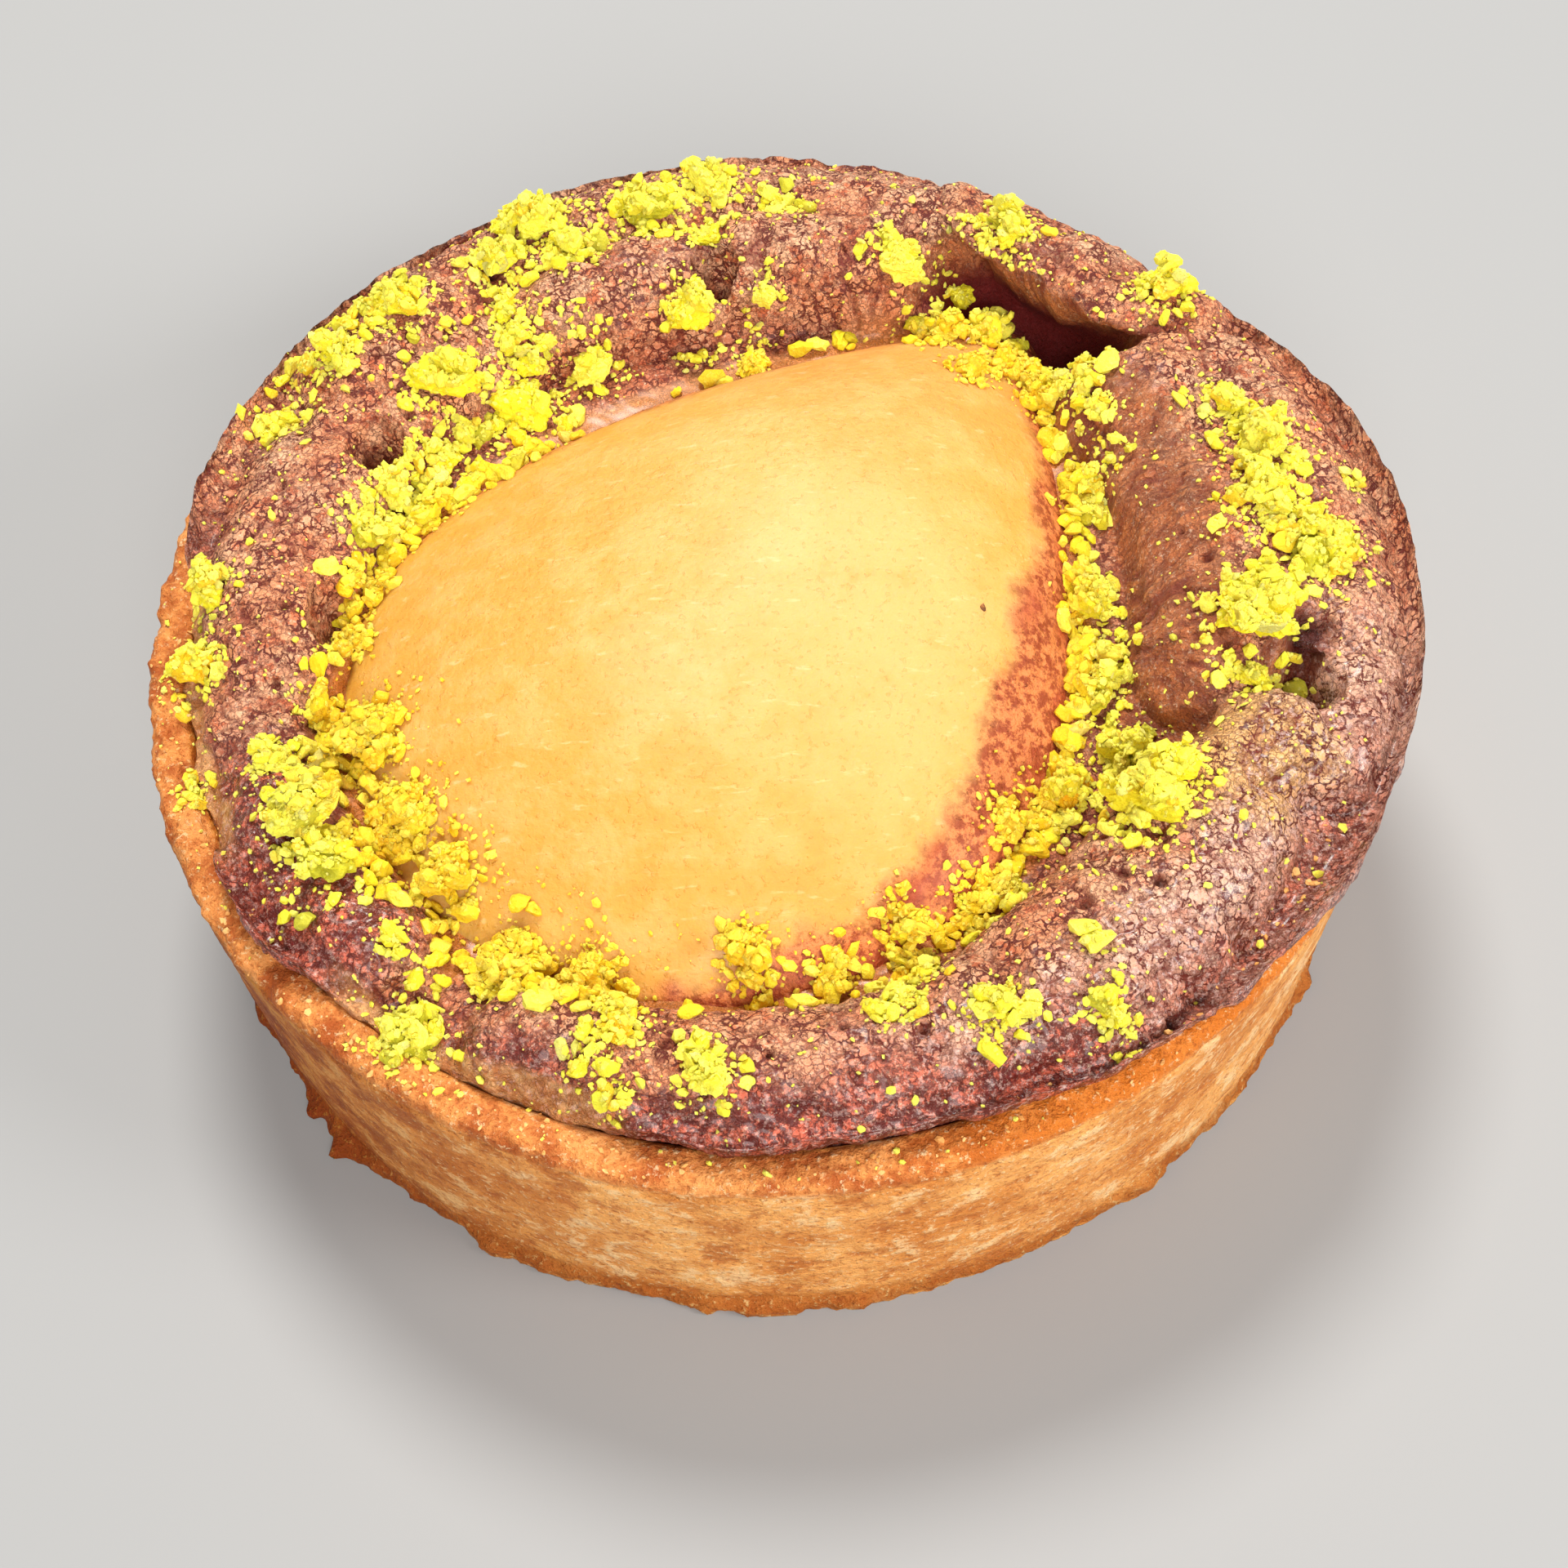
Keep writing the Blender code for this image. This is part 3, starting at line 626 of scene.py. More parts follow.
broken = crumb.noise(0.0021, 4.0, 0.65)
grain = crumb.noise(0.00036, 4.0, 0.75)
medium = crumb.noise(0.0014, 6.0, 0.75)
broad = crumb.noise(0.007, 3.0)
down = crumb.add("ShaderNodeCombineXYZ", {"X": crumb.attribute("arc"), "Y": crumb.attribute("out")})
streak = crumb.noise(0.0009, 5.0, 0.7, down.outputs[0])
crumb.colour = crumb.mix(crumb.span(medium, 0.39, 0.51), "brown",
                         crumb.mix(crumb.span(broad, 0.38, 0.62), "rose", "sandy"))
# painted sheen: the glossy front right lighter and pinker
crumb.tint(crumb.share("glaze", 0.75), "glaze")
# painted shade in the dips and low down by the pear
crumb.tint(crumb.share("valley", 0.65), "valley")
crumb.tint(crumb.attribute("dark"), crumb.mix(crumb.span(medium, 0.45, 0.57), "darkest", "russet"))
crumb.tint(crumb.share("wall", 0.85), crumb.mix(crumb.span(streak, 0.40, 0.60), "wallDark", "wallLight"))
crumb.tint(crumb.share("hump", 0.85), "hump")
crumb.tint(crumb.span(grain, 0.44, 0.34, 0.0, 0.6), "darkGrain")
crumb.tint(crumb.span(grain, 0.55, 0.67, 0.0, 0.65), "lightGrain")
coarse = crumb.times(crumb.span(cracks, 0.13, 0.03), crumb.span(broken, 0.41, 0.53, 0.0, 1.0))
thin = crumb.times(crumb.span(fineCracks, 0.11, 0.02), crumb.span(broken, 0.58, 0.42, 0.0, 0.65))
torn = crumb.times(crumb.span(veins, 0.020, 0.006), crumb.span(broken, 0.44, 0.56, 0.2, 0.9))
crackMask = crumb.times(crumb.most(crumb.most(coarse, thin), torn),
                        crumb.span(crumb.attribute("wall"), 0.0, 1.0, 1.0, 0.45))
crumb.tint(crackMask, "crack")
# painted shade in the creases, holes and wrinkles
crumb.tint(crumb.share("groove", 0.7), "groove")
crumb.tint(crumb.share("tan", 0.9), crumb.mix(crumb.span(medium, 0.40, 0.60), "rimDark", "rimLight"))
crumb.tint(crumb.share("lick", 0.75), "lick")
# painted glints: pale pink specks over the glossy dark and glazed cream
shiny = crumb.most(crumb.attribute("glaze"), crumb.share("dark", 0.6))
sparkle = crumb.times(crumb.span(crumb.noise(0.00055, 5.0, 0.75), 0.52, 0.62), shiny)
crumb.tint(crumb.times(sparkle, 0.65), "sparkle")
crumb.tint(crumb.share("wet", 0.8), "wet")
# the hollow under the fold: its own dark red and painted shade
crumb.tint(crumb.attribute("cave"), "cave")
# painted shade deep inside the holes
crumb.tint(crumb.attribute("pit"), "pit")
gloss = crumb.most(crumb.most(crumb.share("dark", 0.9), crumb.attribute("wet")), crumb.attribute("glaze"))
crumb.fix(Base_Color=crumb.colour, Roughness=crumb.span(gloss, 0.0, 1.0, 0.58, 0.24), Specular_IOR_Level=0.5,
          Subsurface_Weight=0.06, Subsurface_Scale=0.0012, Subsurface_Radius=(1.0, 0.35, 0.2),
          Coat_Weight=crumb.times(gloss, 0.35), Coat_Roughness=0.18)
crumb.reliefs((medium, 0.0010, 0.75), (crumb.times(streak, crumb.attribute("wall")), 0.0009, 0.9),
              (crumb.math("SUBTRACT", 1.0, crackMask), 0.00040, 0.9), (grain, 0.00028, 0.8))
dress(filling, crumb, "cream", "filling")

# Half pear
print("half pear")
bm = bmesh.new()
bmesh.ops.create_uvsphere(bm, u_segments=360, v_segments=200, radius=1.0)
unit = np.array([v.co[:] for v in bm.verts])
cosine = np.clip(unit[:, 2], -1.0, 1.0)
sine = np.sqrt(np.maximum(1e-9, 1.0 - cosine**2))
width = pearHalfWidth(cosine)
wide, gain = pearSize["bulge"]
lift = unit[:, 1] / sine * width * (wide + gain * ease(-0.2, 1.0, cosine))
points = np.stack((cosine * pearSize["length"] / 2.0, unit[:, 0] / sine * width, lift), -1)
for vert, point in zip(bm.verts, (points * mm).tolist()):
    vert.co = point
bmesh.ops.bisect_plane(bm, geom=bm.verts[:] + bm.edges[:] + bm.faces[:], dist=1e-7, plane_co=(0, 0, 0),
                       plane_no=(0, 0, 1), clear_inner=True)
bmesh.ops.holes_fill(bm, edges=[e for e in bm.edges if e.is_boundary], sides=0)
resting = Matrix.Translation(Vector((pearSize["x"], pearSize["y"], pearSize["bed"])) * mm)
bmesh.ops.transform(bm, matrix=resting @ Matrix.Rotation(pearSize["turn"], 4, "Z"), verts=bm.verts)
bmesh.ops.recalc_face_normals(bm, faces=bm.faces)
slant = Vector((1.0, 0.6180339, 0.4142135))  # sorted along a slant, the mesh is listed alike in each run
bm.verts.sort(key=lambda vert: vert.co.dot(slant))
bm.faces.sort(key=lambda face: face.calc_center_median().dot(slant))
pear = newPiece("half_pear", bm)
at, radius, degrees = polar(pear)
upper = ease(20.4, 22.0, at[:, 2])
dents = 0.25 * field(at, 14.0, 2.0) + 0.05 * field(at, 3.0)

# a thin film of cream has crept up the pear: degrees round the tart, width
filmWidths = np.array((
    (0, 3.2), (14, 2.5), (30, 1.3), (50, 0.4), (70, 0.6), (90, 1.0), (105, 1.2), (125, 1.2), (142, 0.8),
    (156, 0.3), (180, 0.0), (248, 0.0), (260, 1.4), (272, 3.8), (281, 3.6), (288, 4.6), (298, 4.8),
    (306, 5.6), (328, 5.2), (348, 4.5), (360, 3.2),
))
creep = np.interp(np.mod(degrees, 360.0), filmWidths[:, 0], filmWidths[:, 1])
inset = pearEdge(degrees) - radius
ragged = 1.3 * field(at, 4.0, 8.0) + 0.8 * field(at, 1.5)
film = ease(1.3, -0.9, inset - creep - ragged * np.minimum(1.0, creep)) * ease(0.0, 0.4, creep) * upper
sculpt(pear, upper * dents * 0.6 + film * (0.16 + 0.08 * field(at, 0.9, 6.0)))
turn = pearSize["turn"]
alongPear = (at[:, 0] - pearSize["x"]) * math.cos(turn) + (at[:, 1] - pearSize["y"]) * math.sin(turn)
slow = 5.0 * wander(at[:, 0], at[:, 1], 0.0, 16.0)
# painted highlight: a soft pool of light right of the pear's middle, and the pear painted paler towards its
# right and middle where the lamps catch it
glow = bump(np.hypot(at[:, 0] - 8.0, 0.6 * (at[:, 1] + 7.0)) + 0.3 * slow, 0.0, 11.0)
pale = 0.72 * ease(-18.0, 14.0, at[:, 0] + 0.35 * at[:, 1] + slow) * ease(0.0, 11.0, inset + 0.5 * slow)
pale = pale * (1.0 - 0.6 * ease(4.0, 18.0, alongPear)) + 0.45 * glow
paint(
    pear,
    film=film,
    juice=ease(2.6, -0.5, inset + 0.6 * ragged) * sector(degrees, 215, 110.0, 60.0) * upper,
    pale=np.clip(pale, 0.0, 1.0),
    stem=ease(6.0, 28.0, alongPear + slow),
    rosy=film * ease(-0.1, 0.45, field(at, 3.2, 18.0)) * ease(30.0, -20.0, at[:, 1]),
)
keepInside(pear)

flesh = Shader(
    "glazed pear", honey=(0.655, 0.318, 0.046), cream=(0.65, 0.400, 0.120), stem=(0.65, 0.290, 0.058),
    light=(0.73, 0.43, 0.140), deep=(0.62, 0.28, 0.040), fibre=(0.85, 0.62, 0.31), juice=(0.65, 0.28, 0.020),
    filmDark=(0.28, 0.020, 0.005), filmLight=(0.72, 0.205, 0.060), rosy=(0.42, 0.045, 0.02),
)
fibre = flesh.noise(0.00075, 3.0, 0.6, flesh.stretched((0.25, 1.0, 1.0), -math.radians(78.0)))
mottle = flesh.noise(0.0038, 4.0, 0.6)
skin = flesh.noise(0.00085, 4.0, 0.6)
glints = flesh.noise(0.0005, 2.0)
# the pale colour is painted light, paler where the lamps catch the pear
flesh.colour = flesh.mix(flesh.attribute("pale"), "honey", "cream")
flesh.tint(flesh.share("stem", 0.8), "stem")
flesh.tint(flesh.span(mottle, 0.42, 0.64, 0.0, 0.4), "light")
flesh.tint(flesh.span(mottle, 0.44, 0.32, 0.0, 0.35), "deep")
flesh.tint(flesh.span(fibre, 0.60, 0.74, 0.0, 0.35), "fibre")
flesh.tint(flesh.share("juice", 0.75), "juice")
filmTone = flesh.mix(flesh.span(flesh.noise(0.0009, 5.0, 0.7), 0.42, 0.57), "filmDark", "filmLight")
flesh.tint(flesh.share("film", 0.9), flesh.mix(flesh.share("rosy", 0.85), filmTone, "rosy"))
flesh.fix(Base_Color=flesh.colour, Roughness=flesh.span(skin, 0.3, 0.7, 0.54, 0.70), Specular_IOR_Level=0.36,
          Subsurface_Weight=flesh.span(flesh.attribute("film"), 0.0, 0.6, 0.5, 0.02), Subsurface_Scale=0.005,
          Subsurface_Radius=(1.0, 0.55, 0.15), Coat_Weight=0.12, Coat_Roughness=0.30)
filmBumps = flesh.times(flesh.attribute("film"), flesh.noise(0.0007, 4.0, 0.7))
flesh.reliefs((mottle, 0.0007, 0.5), (skin, 0.00028, 0.7), (flesh.span(glints, 0.60, 0.72), 0.00012, 0.7),
              (fibre, 0.00010, 0.35), (filmBumps, 0.0005, 0.9))
dress(pear, flesh, "pear", "pear")

# Chopped pistachio
print("pistachio")


def treeOf(*pieces):
    points, faces, start = [], [], 0
    for piece in pieces:
        piece.data.calc_loop_triangles()
        points.append(coordinates(piece.data))
        corners = np.empty(len(piece.data.loop_triangles) * 3, int)
        piece.data.loop_triangles.foreach_get("vertices", corners)
        faces.append(corners.reshape(-1, 3) + start)
        start += len(piece.data.vertices)
    return BVHTree.FromPolygons(np.concatenate(points).tolist(), np.concatenate(faces).tolist())


def stoneShapes(count, rounds, cuts, lump, flat, seed):
    # broken pieces of nut about 1 across, each as its points and triangles
    draw = random.Random(seed)
    shapes = []
    for number in range(count):
        bm = bmesh.new()
        if rounds:
            bmesh.ops.create_icosphere(bm, subdivisions=rounds, radius=0.5)
        else:
            bmesh.ops.create_cube(bm, size=0.72)
            for vert in bm.verts:
                vert.co *= draw.uniform(0.7, 1.25)
        for _ in range(cuts):
            facing = Vector((draw.gauss(0, 1), draw.gauss(0, 1), draw.gauss(0, 0.8))).normalized()
            depth = draw.uniform(0.22, 0.40)
            for vert in bm.verts:
                beyond = vert.co.dot(facing) - depth
                if beyond > 0.0:
                    vert.co -= facing * beyond
        shift = Vector((number * 3.1, seed * 0.7, 0.0))
        for vert in bm.verts:
            push = lump * (noise.noise(vert.co * 4.0 + shift) + 0.7 * noise.noise(vert.co * 9.0 + shift)
                           + 0.45 * noise.noise(vert.co * 19.0 + shift))
            vert.co += vert.co.normalized() * push
        stretch = (draw.uniform(0.95, 1.3), draw.uniform(0.72, 1.0), draw.uniform(*flat))
        bmesh.ops.scale(bm, vec=stretch, verts=bm.verts)
        bmesh.ops.triangulate(bm, faces=bm.faces)
        bm.verts.index_update()
        points = np.array([v.co[:] for v in bm.verts])
        faces = np.array([[v.index for v in f.verts] for f in bm.faces])
        bm.free()
        shapes.append((points, faces))
    return shapes


def strew(name, places, shapes, seed, wobble=0.6):
    # joins a copy of a shape for each place: x, y, z, width, facing and colour
    draw = random.Random(seed)
    points, faces, colours, start = [], [], [], 0
    upright = Vector((0.0, 0.0, 1.0))
    top = cadBox[1][2] / mm - 0.15
    for x, y, z, size, facing, colour in places:
        shape, corners = shapes[draw.randrange(len(shapes))]
        spin = Matrix.Rotation(draw.uniform(0.0, math.tau), 3, "Z")
        lean = upright.rotation_difference(facing).to_matrix() if facing else Matrix.Identity(3)
        tilt = Matrix.Rotation(draw.uniform(-wobble, wobble), 3, "X")
        turned = shape @ np.array(lean @ spin @ tilt).T * size + np.array((x, y, z))
        turned[:, 2] -= max(0.0, turned[:, 2].max() - top)
        points.append(turned * mm)
        faces.append(corners + start)
        start += len(shape)
        colours.append(np.repeat([np.clip(colour, 0.0, 1.0)], len(shape), 0))
    mesh = bpy.data.meshes.new(name)
    mesh.from_pydata(np.concatenate(points).tolist(), [], np.concatenate(faces).tolist())
    mesh.shade_smooth()
    mesh.set_sharp_from_angle(angle=math.radians(28))
    piece = place(bpy.data.objects.new(name, mesh))
    paintColour(piece, "tone", np.concatenate(colours))
    keepInside(piece)
    return piece


# larger pieces: x, y, width
nuts = (
    (-44.3, 2.4, 4), (-45.2, -4.1, 5), (-37.9, -14.6, 4), (-34.9, -20.2, 6), (-33.5, -24.4, 6),
    (-31.5, -11.6, 7), (-27.8, -19, 5), (-24.5, -24.8, 5), (-27.2, -37.2, 6), (-19.1, -32, 6),
    (-14, -33.5, 4), (-11.6, -39.4, 3.5), (-5.7, -43.5, 4), (-2.7, -32.7, 4), (8.9, -31, 4),
    (14.1, -39.5, 3.6), (22.5, -40, 3.5), (14.3, -28.4, 4), (17.3, -22.2, 4), (22.4, -18.6, 5),
    (26.8, -23.2, 6.4), (29.8, -21, 4.5), (26.8, -15.3, 4.6), (37.4, -8.4, 8), (36.4, -12.6, 3.2),
    (43.7, -1.4, 7), (40.2, 3.5, 5), (40.9, 9, 6), (38.5, 13.5, 3), (35, 27.1, 5), (27.5, 10.9, 4),
    (26.1, -1.4, 3.6), (26.9, -6.1, 3.6), (25.6, -10.2, 3.4), (28.1, 15.3, 3.2), (28.2, 22.5, 4.4),
    (21.7, 24.7, 4), (18.7, 22.5, 3.5), (24.4, 20.3, 3.6), (21.3, 30.1, 5.2), (16.6, 29.1, 4.4),
    (18.7, 34.5, 4), (13.3, 32.8, 5), (22.8, 34.7, 4.6), (-0.1, 26.9, 3), (1.5, 31, 3),
    (-4.9, 29.8, 4.6), (-8.8, 40.2, 5), (-3.6, 42.8, 4), (-3.6, 37.5, 4), (-18.9, 39.6, 5),
    (-21.4, 35, 4), (-15.1, 36.9, 4), (-21, 30.5, 3.6), (-30.7, 30.5, 4.4), (-35.6, 25.6, 3.6),
    (-19.3, 25.8, 3.6), (-26, 22.9, 6), (-19.8, 22.5, 7), (-26.4, 17.4, 5), (-14, 26.9, 5),
    (-30.7, 13.8, 4.4), (-27.4, 12.3, 4), (-32.2, 8.7, 4), (-33.6, -0.7, 4), (-35.1, -8.1, 3.6),
)
# crumb heaps: x, y, spread, how many
heaps = (
    (-19, 40, 3.6, 150), (-22, 35, 2.6, 76), (-30.5, 31, 3.0, 90), (-35.5, 26, 2.8, 80), (-26, 29, 2.6, 6),
    (-40.5, 21, 2.2, 46), (-9, 40.5, 2.6, 90), (-3, 43.5, 3.0, 100), (3, 40, 2.2, 40), (-15, 36.5, 2.4, 50),
    (-19.5, 26.5, 2.6, 60), (-5, 30.5, 1.4, 30), (13.3, 34.5, 1.8, 30), (22.5, 35.5, 1.8, 40),
    (35, 27.5, 1.8, 40), (38, 14, 2.0, 34), (40.5, 8.5, 3.0, 110), (39.5, 2.5, 2.8, 80),
    (43.5, -1.4, 2.8, 80),
    (37, -8.5, 3.0, 120), (47.5, 5.5, 1.0, 14), (27, 19, 2.4, 40), (27, 9, 1.5, 50), (26.6, 0, 1.4, 60),
    (26.6, -8, 1.5, 70), (27, -16, 2.0, 60), (27.3, -23, 2.8, 150), (20.5, -20.5, 2.0, 40),
    (16, -27.5, 2.0, 50), (9, -31.5, 2.0, 60), (15, -39.5, 2.2, 56), (8, -38.5, 2.0, 50), (9.5, -35, 1.8, 30),
    (22.5, -40, 1.3, 14), (22, -35, 1.2, 12), (-2.5, -33.5, 1.8, 50), (3.5, -34, 1.8, 50), (-6, -42, 1.5, 26),
    (-12, -43.5, 1.5, 26), (-14.5, -41, 1.8, 26), (-12, -37, 1.5, 30), (-14, -34, 2.0, 60),
    (-20, -32.5, 2.2, 90), (-25, -26, 2.0, 70), (-28, -20, 2.2, 90), (-31.5, -12.5, 2.4, 120),
    (-34.5, -20, 2.4, 120), (-27.5, -37.5, 1.6, 34), (-28, -31, 1.6, 24), (-38, -14.5, 1.4, 26),
    (-45, -15, 1.4, 24), (-45.2, -4, 1.6, 26), (-44.3, 3, 1.3, 20), (-33.5, -2, 1.6, 50), (-32, 4, 1.4, 50),
    (-31, 10.5, 1.8, 60), (-28, 15, 2.2, 80), (-25, 21, 2.4, 80), (-41, 25, 2.6, 26), (-37, 32, 2.2, 12),
)
tones = (
    ((1.0, 0.86, 0.03), 40), ((1.0, 0.91, 0.10), 24), ((0.86, 0.76, 0.03), 12), ((0.52, 0.48, 0.02), 9),
    ((0.66, 0.62, 0.16), 3), ((1.0, 0.62, 0.015), 12),
)
paleTone, amberTone = np.array((1.0, 0.92, 0.15)), np.array((0.90, 0.50, 0.01))
amberNut = (22.4, -18.6)


def tone(draw, x, y, paler=0.0):
    colours, weights = zip(*tones)
    picked = np.array(draw.choices(colours, weights)[0]) * draw.uniform(0.88, 1.06)
    picked = picked * (1.0 - paler) + paleTone * paler
    # pieces that touch the pear are amber and darker: partly the juice they have taken up, partly painted
    # shade in the hollow round the pear
    near = math.hypot(x, y) - float(pearEdge(math.degrees(math.atan2(y, x))))
    soaked = 0.9 * float(ease(3.4, 0.0, near)) * draw.uniform(0.2, 1.0)
    return picked * (1.0 - soaked) + amberTone * soaked


def landing(tree, x, y):
    hit, facing, _, _ = tree.ray_cast(Vector((x, y, 60.0)) * mm, Vector((0.0, 0.0, -1.0)))
    return (hit.z / mm, facing) if hit else (None, None)


def settle(places, tree, x, y, size, colour, sunk=0.2):
    z, facing = landing(tree, x, y)
    if z and facing.z > 0.15 and math.hypot(x, y) < 49.3 - size * 0.5:
        places.append((x, y, z + sunk * size, size, facing, colour))


def roundNuts(places, perNut, reach, width, paler, sunk=0.2):
    # smaller pieces round each large one
    for x, y, size in nuts:
        for _ in range(int(perNut(size))):
            turn, far, wide = draw.uniform(0.0, math.tau), size * reach(), width(size)
            px, py = x + far * math.cos(turn), y + far * math.sin(turn)
            settle(places, ground, px, py, wide, tone(draw, px, py, paler), sunk)


def inHeaps(places, howMany, spreading, width, paler, sunk=0.2):
    for x, y, spread, count in heaps:
        for _ in range(howMany(count)):
            px, py = x + draw.gauss(0.0, spread * spreading), y + draw.gauss(0.0, spread * spreading)
            settle(places, ground, px, py, width(), tone(draw, px, py, paler), sunk)


def pointAt(angle, far):
    return (float(value) for value in ring(angle, far))


# how many pieces lie loose: in the hollow round the pear, over the cream, and on the lip
scatter = dict(band=620, loose=1000, powder=1200, golden=280)
draw = random.Random(41)
ground = treeOf(filling, pear, case)
big = []
for x, y, size in nuts:
    z, facing = landing(ground, x, y)
    colour = amberTone if (x, y) == amberNut else tone(draw, x, y)
    big.append((x, y, z + 0.12 * size, size * 0.84, None, colour))
chunks = strew("pistachio_chunks", big, stoneShapes(14, 4, 8, 0.13, (0.62, 0.80), 5), 11, 0.4)

ground = treeOf(filling, pear, case, chunks)
middle = []
roundNuts(middle, lambda size: 4 + 1.2 * size, lambda: draw.uniform(0.15, 0.75),
          lambda size: draw.uniform(0.7, 1.7) * size / 5.0, 0.15)
inHeaps(middle, lambda count: count // 6, 0.55, lambda: draw.uniform(1.0, 2.3), 0.1)
for _ in range(scatter["band"]):  # a band of small pieces in the hollow round the pear
    angle, width = draw.uniform(0.0, 360.0), draw.uniform(0.8, 2.3)
    px, py = pointAt(angle, float(pearEdge(angle)) + draw.gauss(1.2, 0.8))
    bare = 0.85 if 66 < angle < 134 else 0.7 if 255 < angle < 290 else 0.1
    if draw.random() > bare:
        settle(middle, ground, px, py, width, tone(draw, px, py))
pieces = strew("pistachio_pieces", middle, stoneShapes(16, 2, 6, 0.12, (0.45, 0.8), 8), 12)

ground = treeOf(filling, pear, case, chunks, pieces)
small = []
roundNuts(small, lambda size: 10 * size, lambda: abs(draw.gauss(0.38, 0.2)),
          lambda size: draw.uniform(0.35, 1.0), 0.4)
inHeaps(small, lambda count: int(count * 1.1), 0.6, lambda: min(1.5, 0.4 + draw.expovariate(3.2)), 0.35)
for _ in range(scatter["loose"]):
    angle, far = draw.uniform(0.0, 360.0), draw.uniform(31.0, 49.0)
    width = min(1.2, 0.25 + draw.expovariate(4.5))
    px, py = pointAt(angle, far)
    if draw.random() < 0.6:
        settle(small, ground, px, py, width, tone(draw, px, py, 0.5))
crumbs = strew("pistachio_crumbs", small, stoneShapes(14, 1, 3, 0.16, (0.4, 0.8), 9), 13, 0.8)

powder = []
roundNuts(powder, lambda size: 12 * size, lambda: abs(draw.gauss(0.45, 0.25)),
          lambda size: draw.uniform(0.18, 0.5), 0.7, 0.3)
inHeaps(powder, lambda count: int(count * 1.1), 0.6, lambda: draw.uniform(0.18, 0.5), 0.7, 0.3)
for _ in range(scatter["powder"]):
    px, py = pointAt(draw.uniform(0.0, 360.0), draw.uniform(31.0, 49.2))
    settle(powder, ground, px, py, draw.uniform(0.14, 0.34), tone(draw, px, py, 0.8), 0.3)
dust = strew("pistachio_dust", powder, stoneShapes(14, 0, 2, 0.0, (0.5, 1.0), 10), 14, 1.2)
print("pieces", len(big), len(middle), len(small), len(powder))

nut = Shader("chopped pistachio", olive=(0.84, 0.62, 0.01), green=(0.80, 0.78, 0.03), pale=(1.0, 0.96, 0.30))
grit = nut.noise(0.0005, 4.0, 0.7)
nut.colour = nut.attribute("tone", "Color")
nut.tint(nut.span(grit, 0.48, 0.30, 0.0, 0.45), "olive")
nut.tint(nut.span(nut.noise(0.0018, 3.0), 0.56, 0.72, 0.0, 0.3), "green")
nut.tint(nut.span(grit, 0.56, 0.74, 0.0, 0.4), "pale")
nut.fix(Base_Color=nut.colour, Roughness=0.55, Specular_IOR_Level=0.22, Subsurface_Weight=0.3,
        Subsurface_Scale=0.001, Subsurface_Radius=(1.0, 0.9, 0.2))
nut.reliefs((nut.noise(0.0009, 4.0, 0.7), 0.00045, 0.9), (grit, 0.00022, 0.8))
for piece in (chunks, pieces, crumbs, dust):
    dress(piece, nut, "cream")

# golden crumbs of pastry on the lip, and one brown fleck on the pear
goldenDark, goldenStep = np.array((0.76, 0.32, 0.07)), np.array((0.18, 0.22, 0.12))
brownFleck = dict(x=16.8, y=-4.8, width=0.7, colour=(0.12, 0.04, 0.01))
golden = []
for _ in range(scatter["golden"]):
    angle, far = draw.uniform(176.0, 330.0), draw.uniform(46.2, 49.9)
    width = min(0.8, 0.20 + draw.expovariate(6.0))
    px, py = pointAt(angle, far)
    z, facing = landing(ground, px, py)
    if z and z < 26.6 and math.hypot(px, py) < 50.0 - 0.5 * width:
        colour = goldenDark + draw.uniform(0.0, 1.0) * goldenStep
        golden.append((px, py, z + 0.1 * width, width, facing, colour))
x, y = brownFleck["x"], brownFleck["y"]
z, facing = landing(ground, x, y)
golden.append((x, y, z, brownFleck["width"], facing, brownFleck["colour"]))
flakes = strew("pastry_crumbs", golden, stoneShapes(12, 1, 3, 0.16, (0.4, 0.8), 15), 16, 0.8)
bit = Shader("pastry crumb", dark=(0.52, 0.19, 0.04))
bit.colour = bit.attribute("tone", "Color")
bit.tint(bit.span(bit.noise(0.0005, 3.0), 0.50, 0.30, 0.0, 0.6), "dark")
bit.fix(Base_Color=bit.colour, Roughness=0.6, Specular_IOR_Level=0.35)
bit.reliefs((bit.noise(0.0004, 3.0), 0.0002, 0.7))
dress(flakes, bit, "crust")

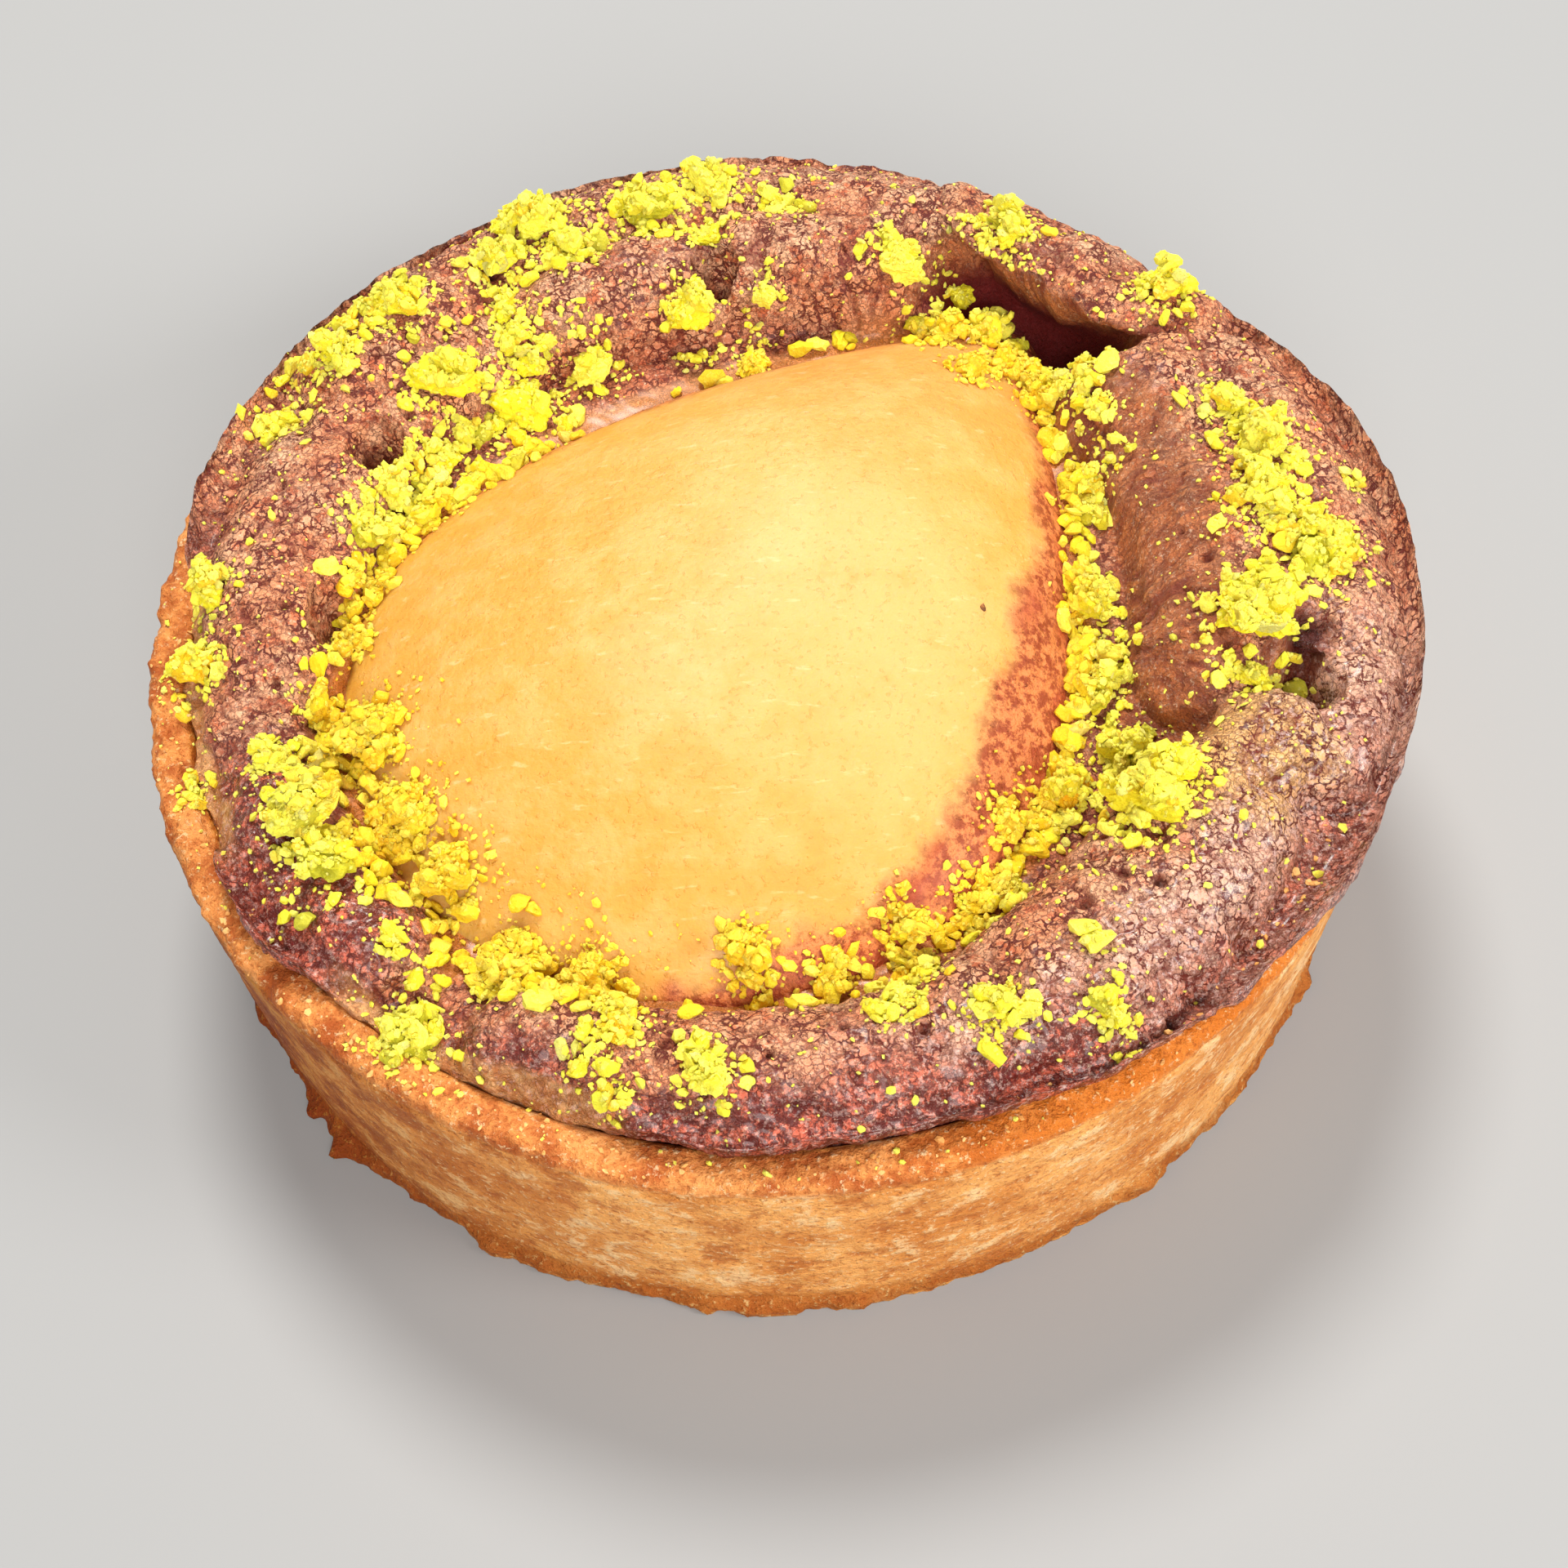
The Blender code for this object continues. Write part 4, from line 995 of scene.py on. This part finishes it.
# Floor, light and camera
print("floor, light and camera")
bm = bmesh.new()
bmesh.ops.create_grid(bm, x_segments=1, y_segments=1, size=3.0)
floor = newPiece("floor", bm)
plain = Shader("pale floor")
plain.fix(Base_Color=(0.33, 0.33, 0.326, 1.0), Roughness=0.7, Specular_IOR_Level=0.2)
floor.data.materials.append(plain.material)


def softLight(name, where, size, power, tint):
    light = bpy.data.lights.new(name, "AREA")
    light.shape, light.size, light.energy, light.color = "DISK", size, power, tint
    lamp = place(bpy.data.objects.new(name, light))
    lamp.location = where
    lamp.rotation_euler = (-Vector(where)).to_track_quat("-Z", "Y").to_euler()


# name, where it hangs, width, power and colour
for settings in (
    ("key", (-0.06, 0.38, 0.66), 0.24, 6.0, (1.0, 0.98, 0.95)),
    ("right", (0.62, -0.22, 0.42), 0.26, 3.3, (1.0, 0.99, 0.98)),
    ("front", (0.02, -0.66, 0.56), 0.45, 6.1, (1.0, 0.98, 0.96)),
):
    softLight(*settings)
world = bpy.data.worlds.new("studio")
world.use_nodes = True
sky = world.node_tree.nodes["Background"].inputs
sky["Color"].default_value, sky["Strength"].default_value = (0.99, 0.99, 1.0, 1.0), 0.345
bpy.context.scene.world = world

view = dict(
    elevation=math.radians(57.30), distance=192.55, roll=math.radians(-3.195),
    target=(0.621, -7.012, 10.0), field=38.0,
)
rise, roll = view["elevation"], view["roll"]
back = Vector((0.0, -math.cos(rise), math.sin(rise)))
right, up = Vector((1.0, 0.0, 0.0)), Vector((0.0, math.sin(rise), math.cos(rise)))
across, upward = right * math.cos(roll) + up * math.sin(roll), -right * math.sin(roll) + up * math.cos(roll)
turned = Matrix((across, upward, back)).transposed().to_4x4()
lens = bpy.data.cameras.new("camera")
lens.sensor_width = 36.0
lens.lens = 18.0 / math.tan(math.radians(view["field"] / 2.0))
lens.clip_start = 0.005
camera = place(bpy.data.objects.new("camera", lens))
camera.matrix_world = Matrix.Translation((back * view["distance"] + Vector(view["target"])) * mm) @ turned
bpy.context.scene.camera = camera
bpy.context.scene.view_settings.view_transform = "Standard"
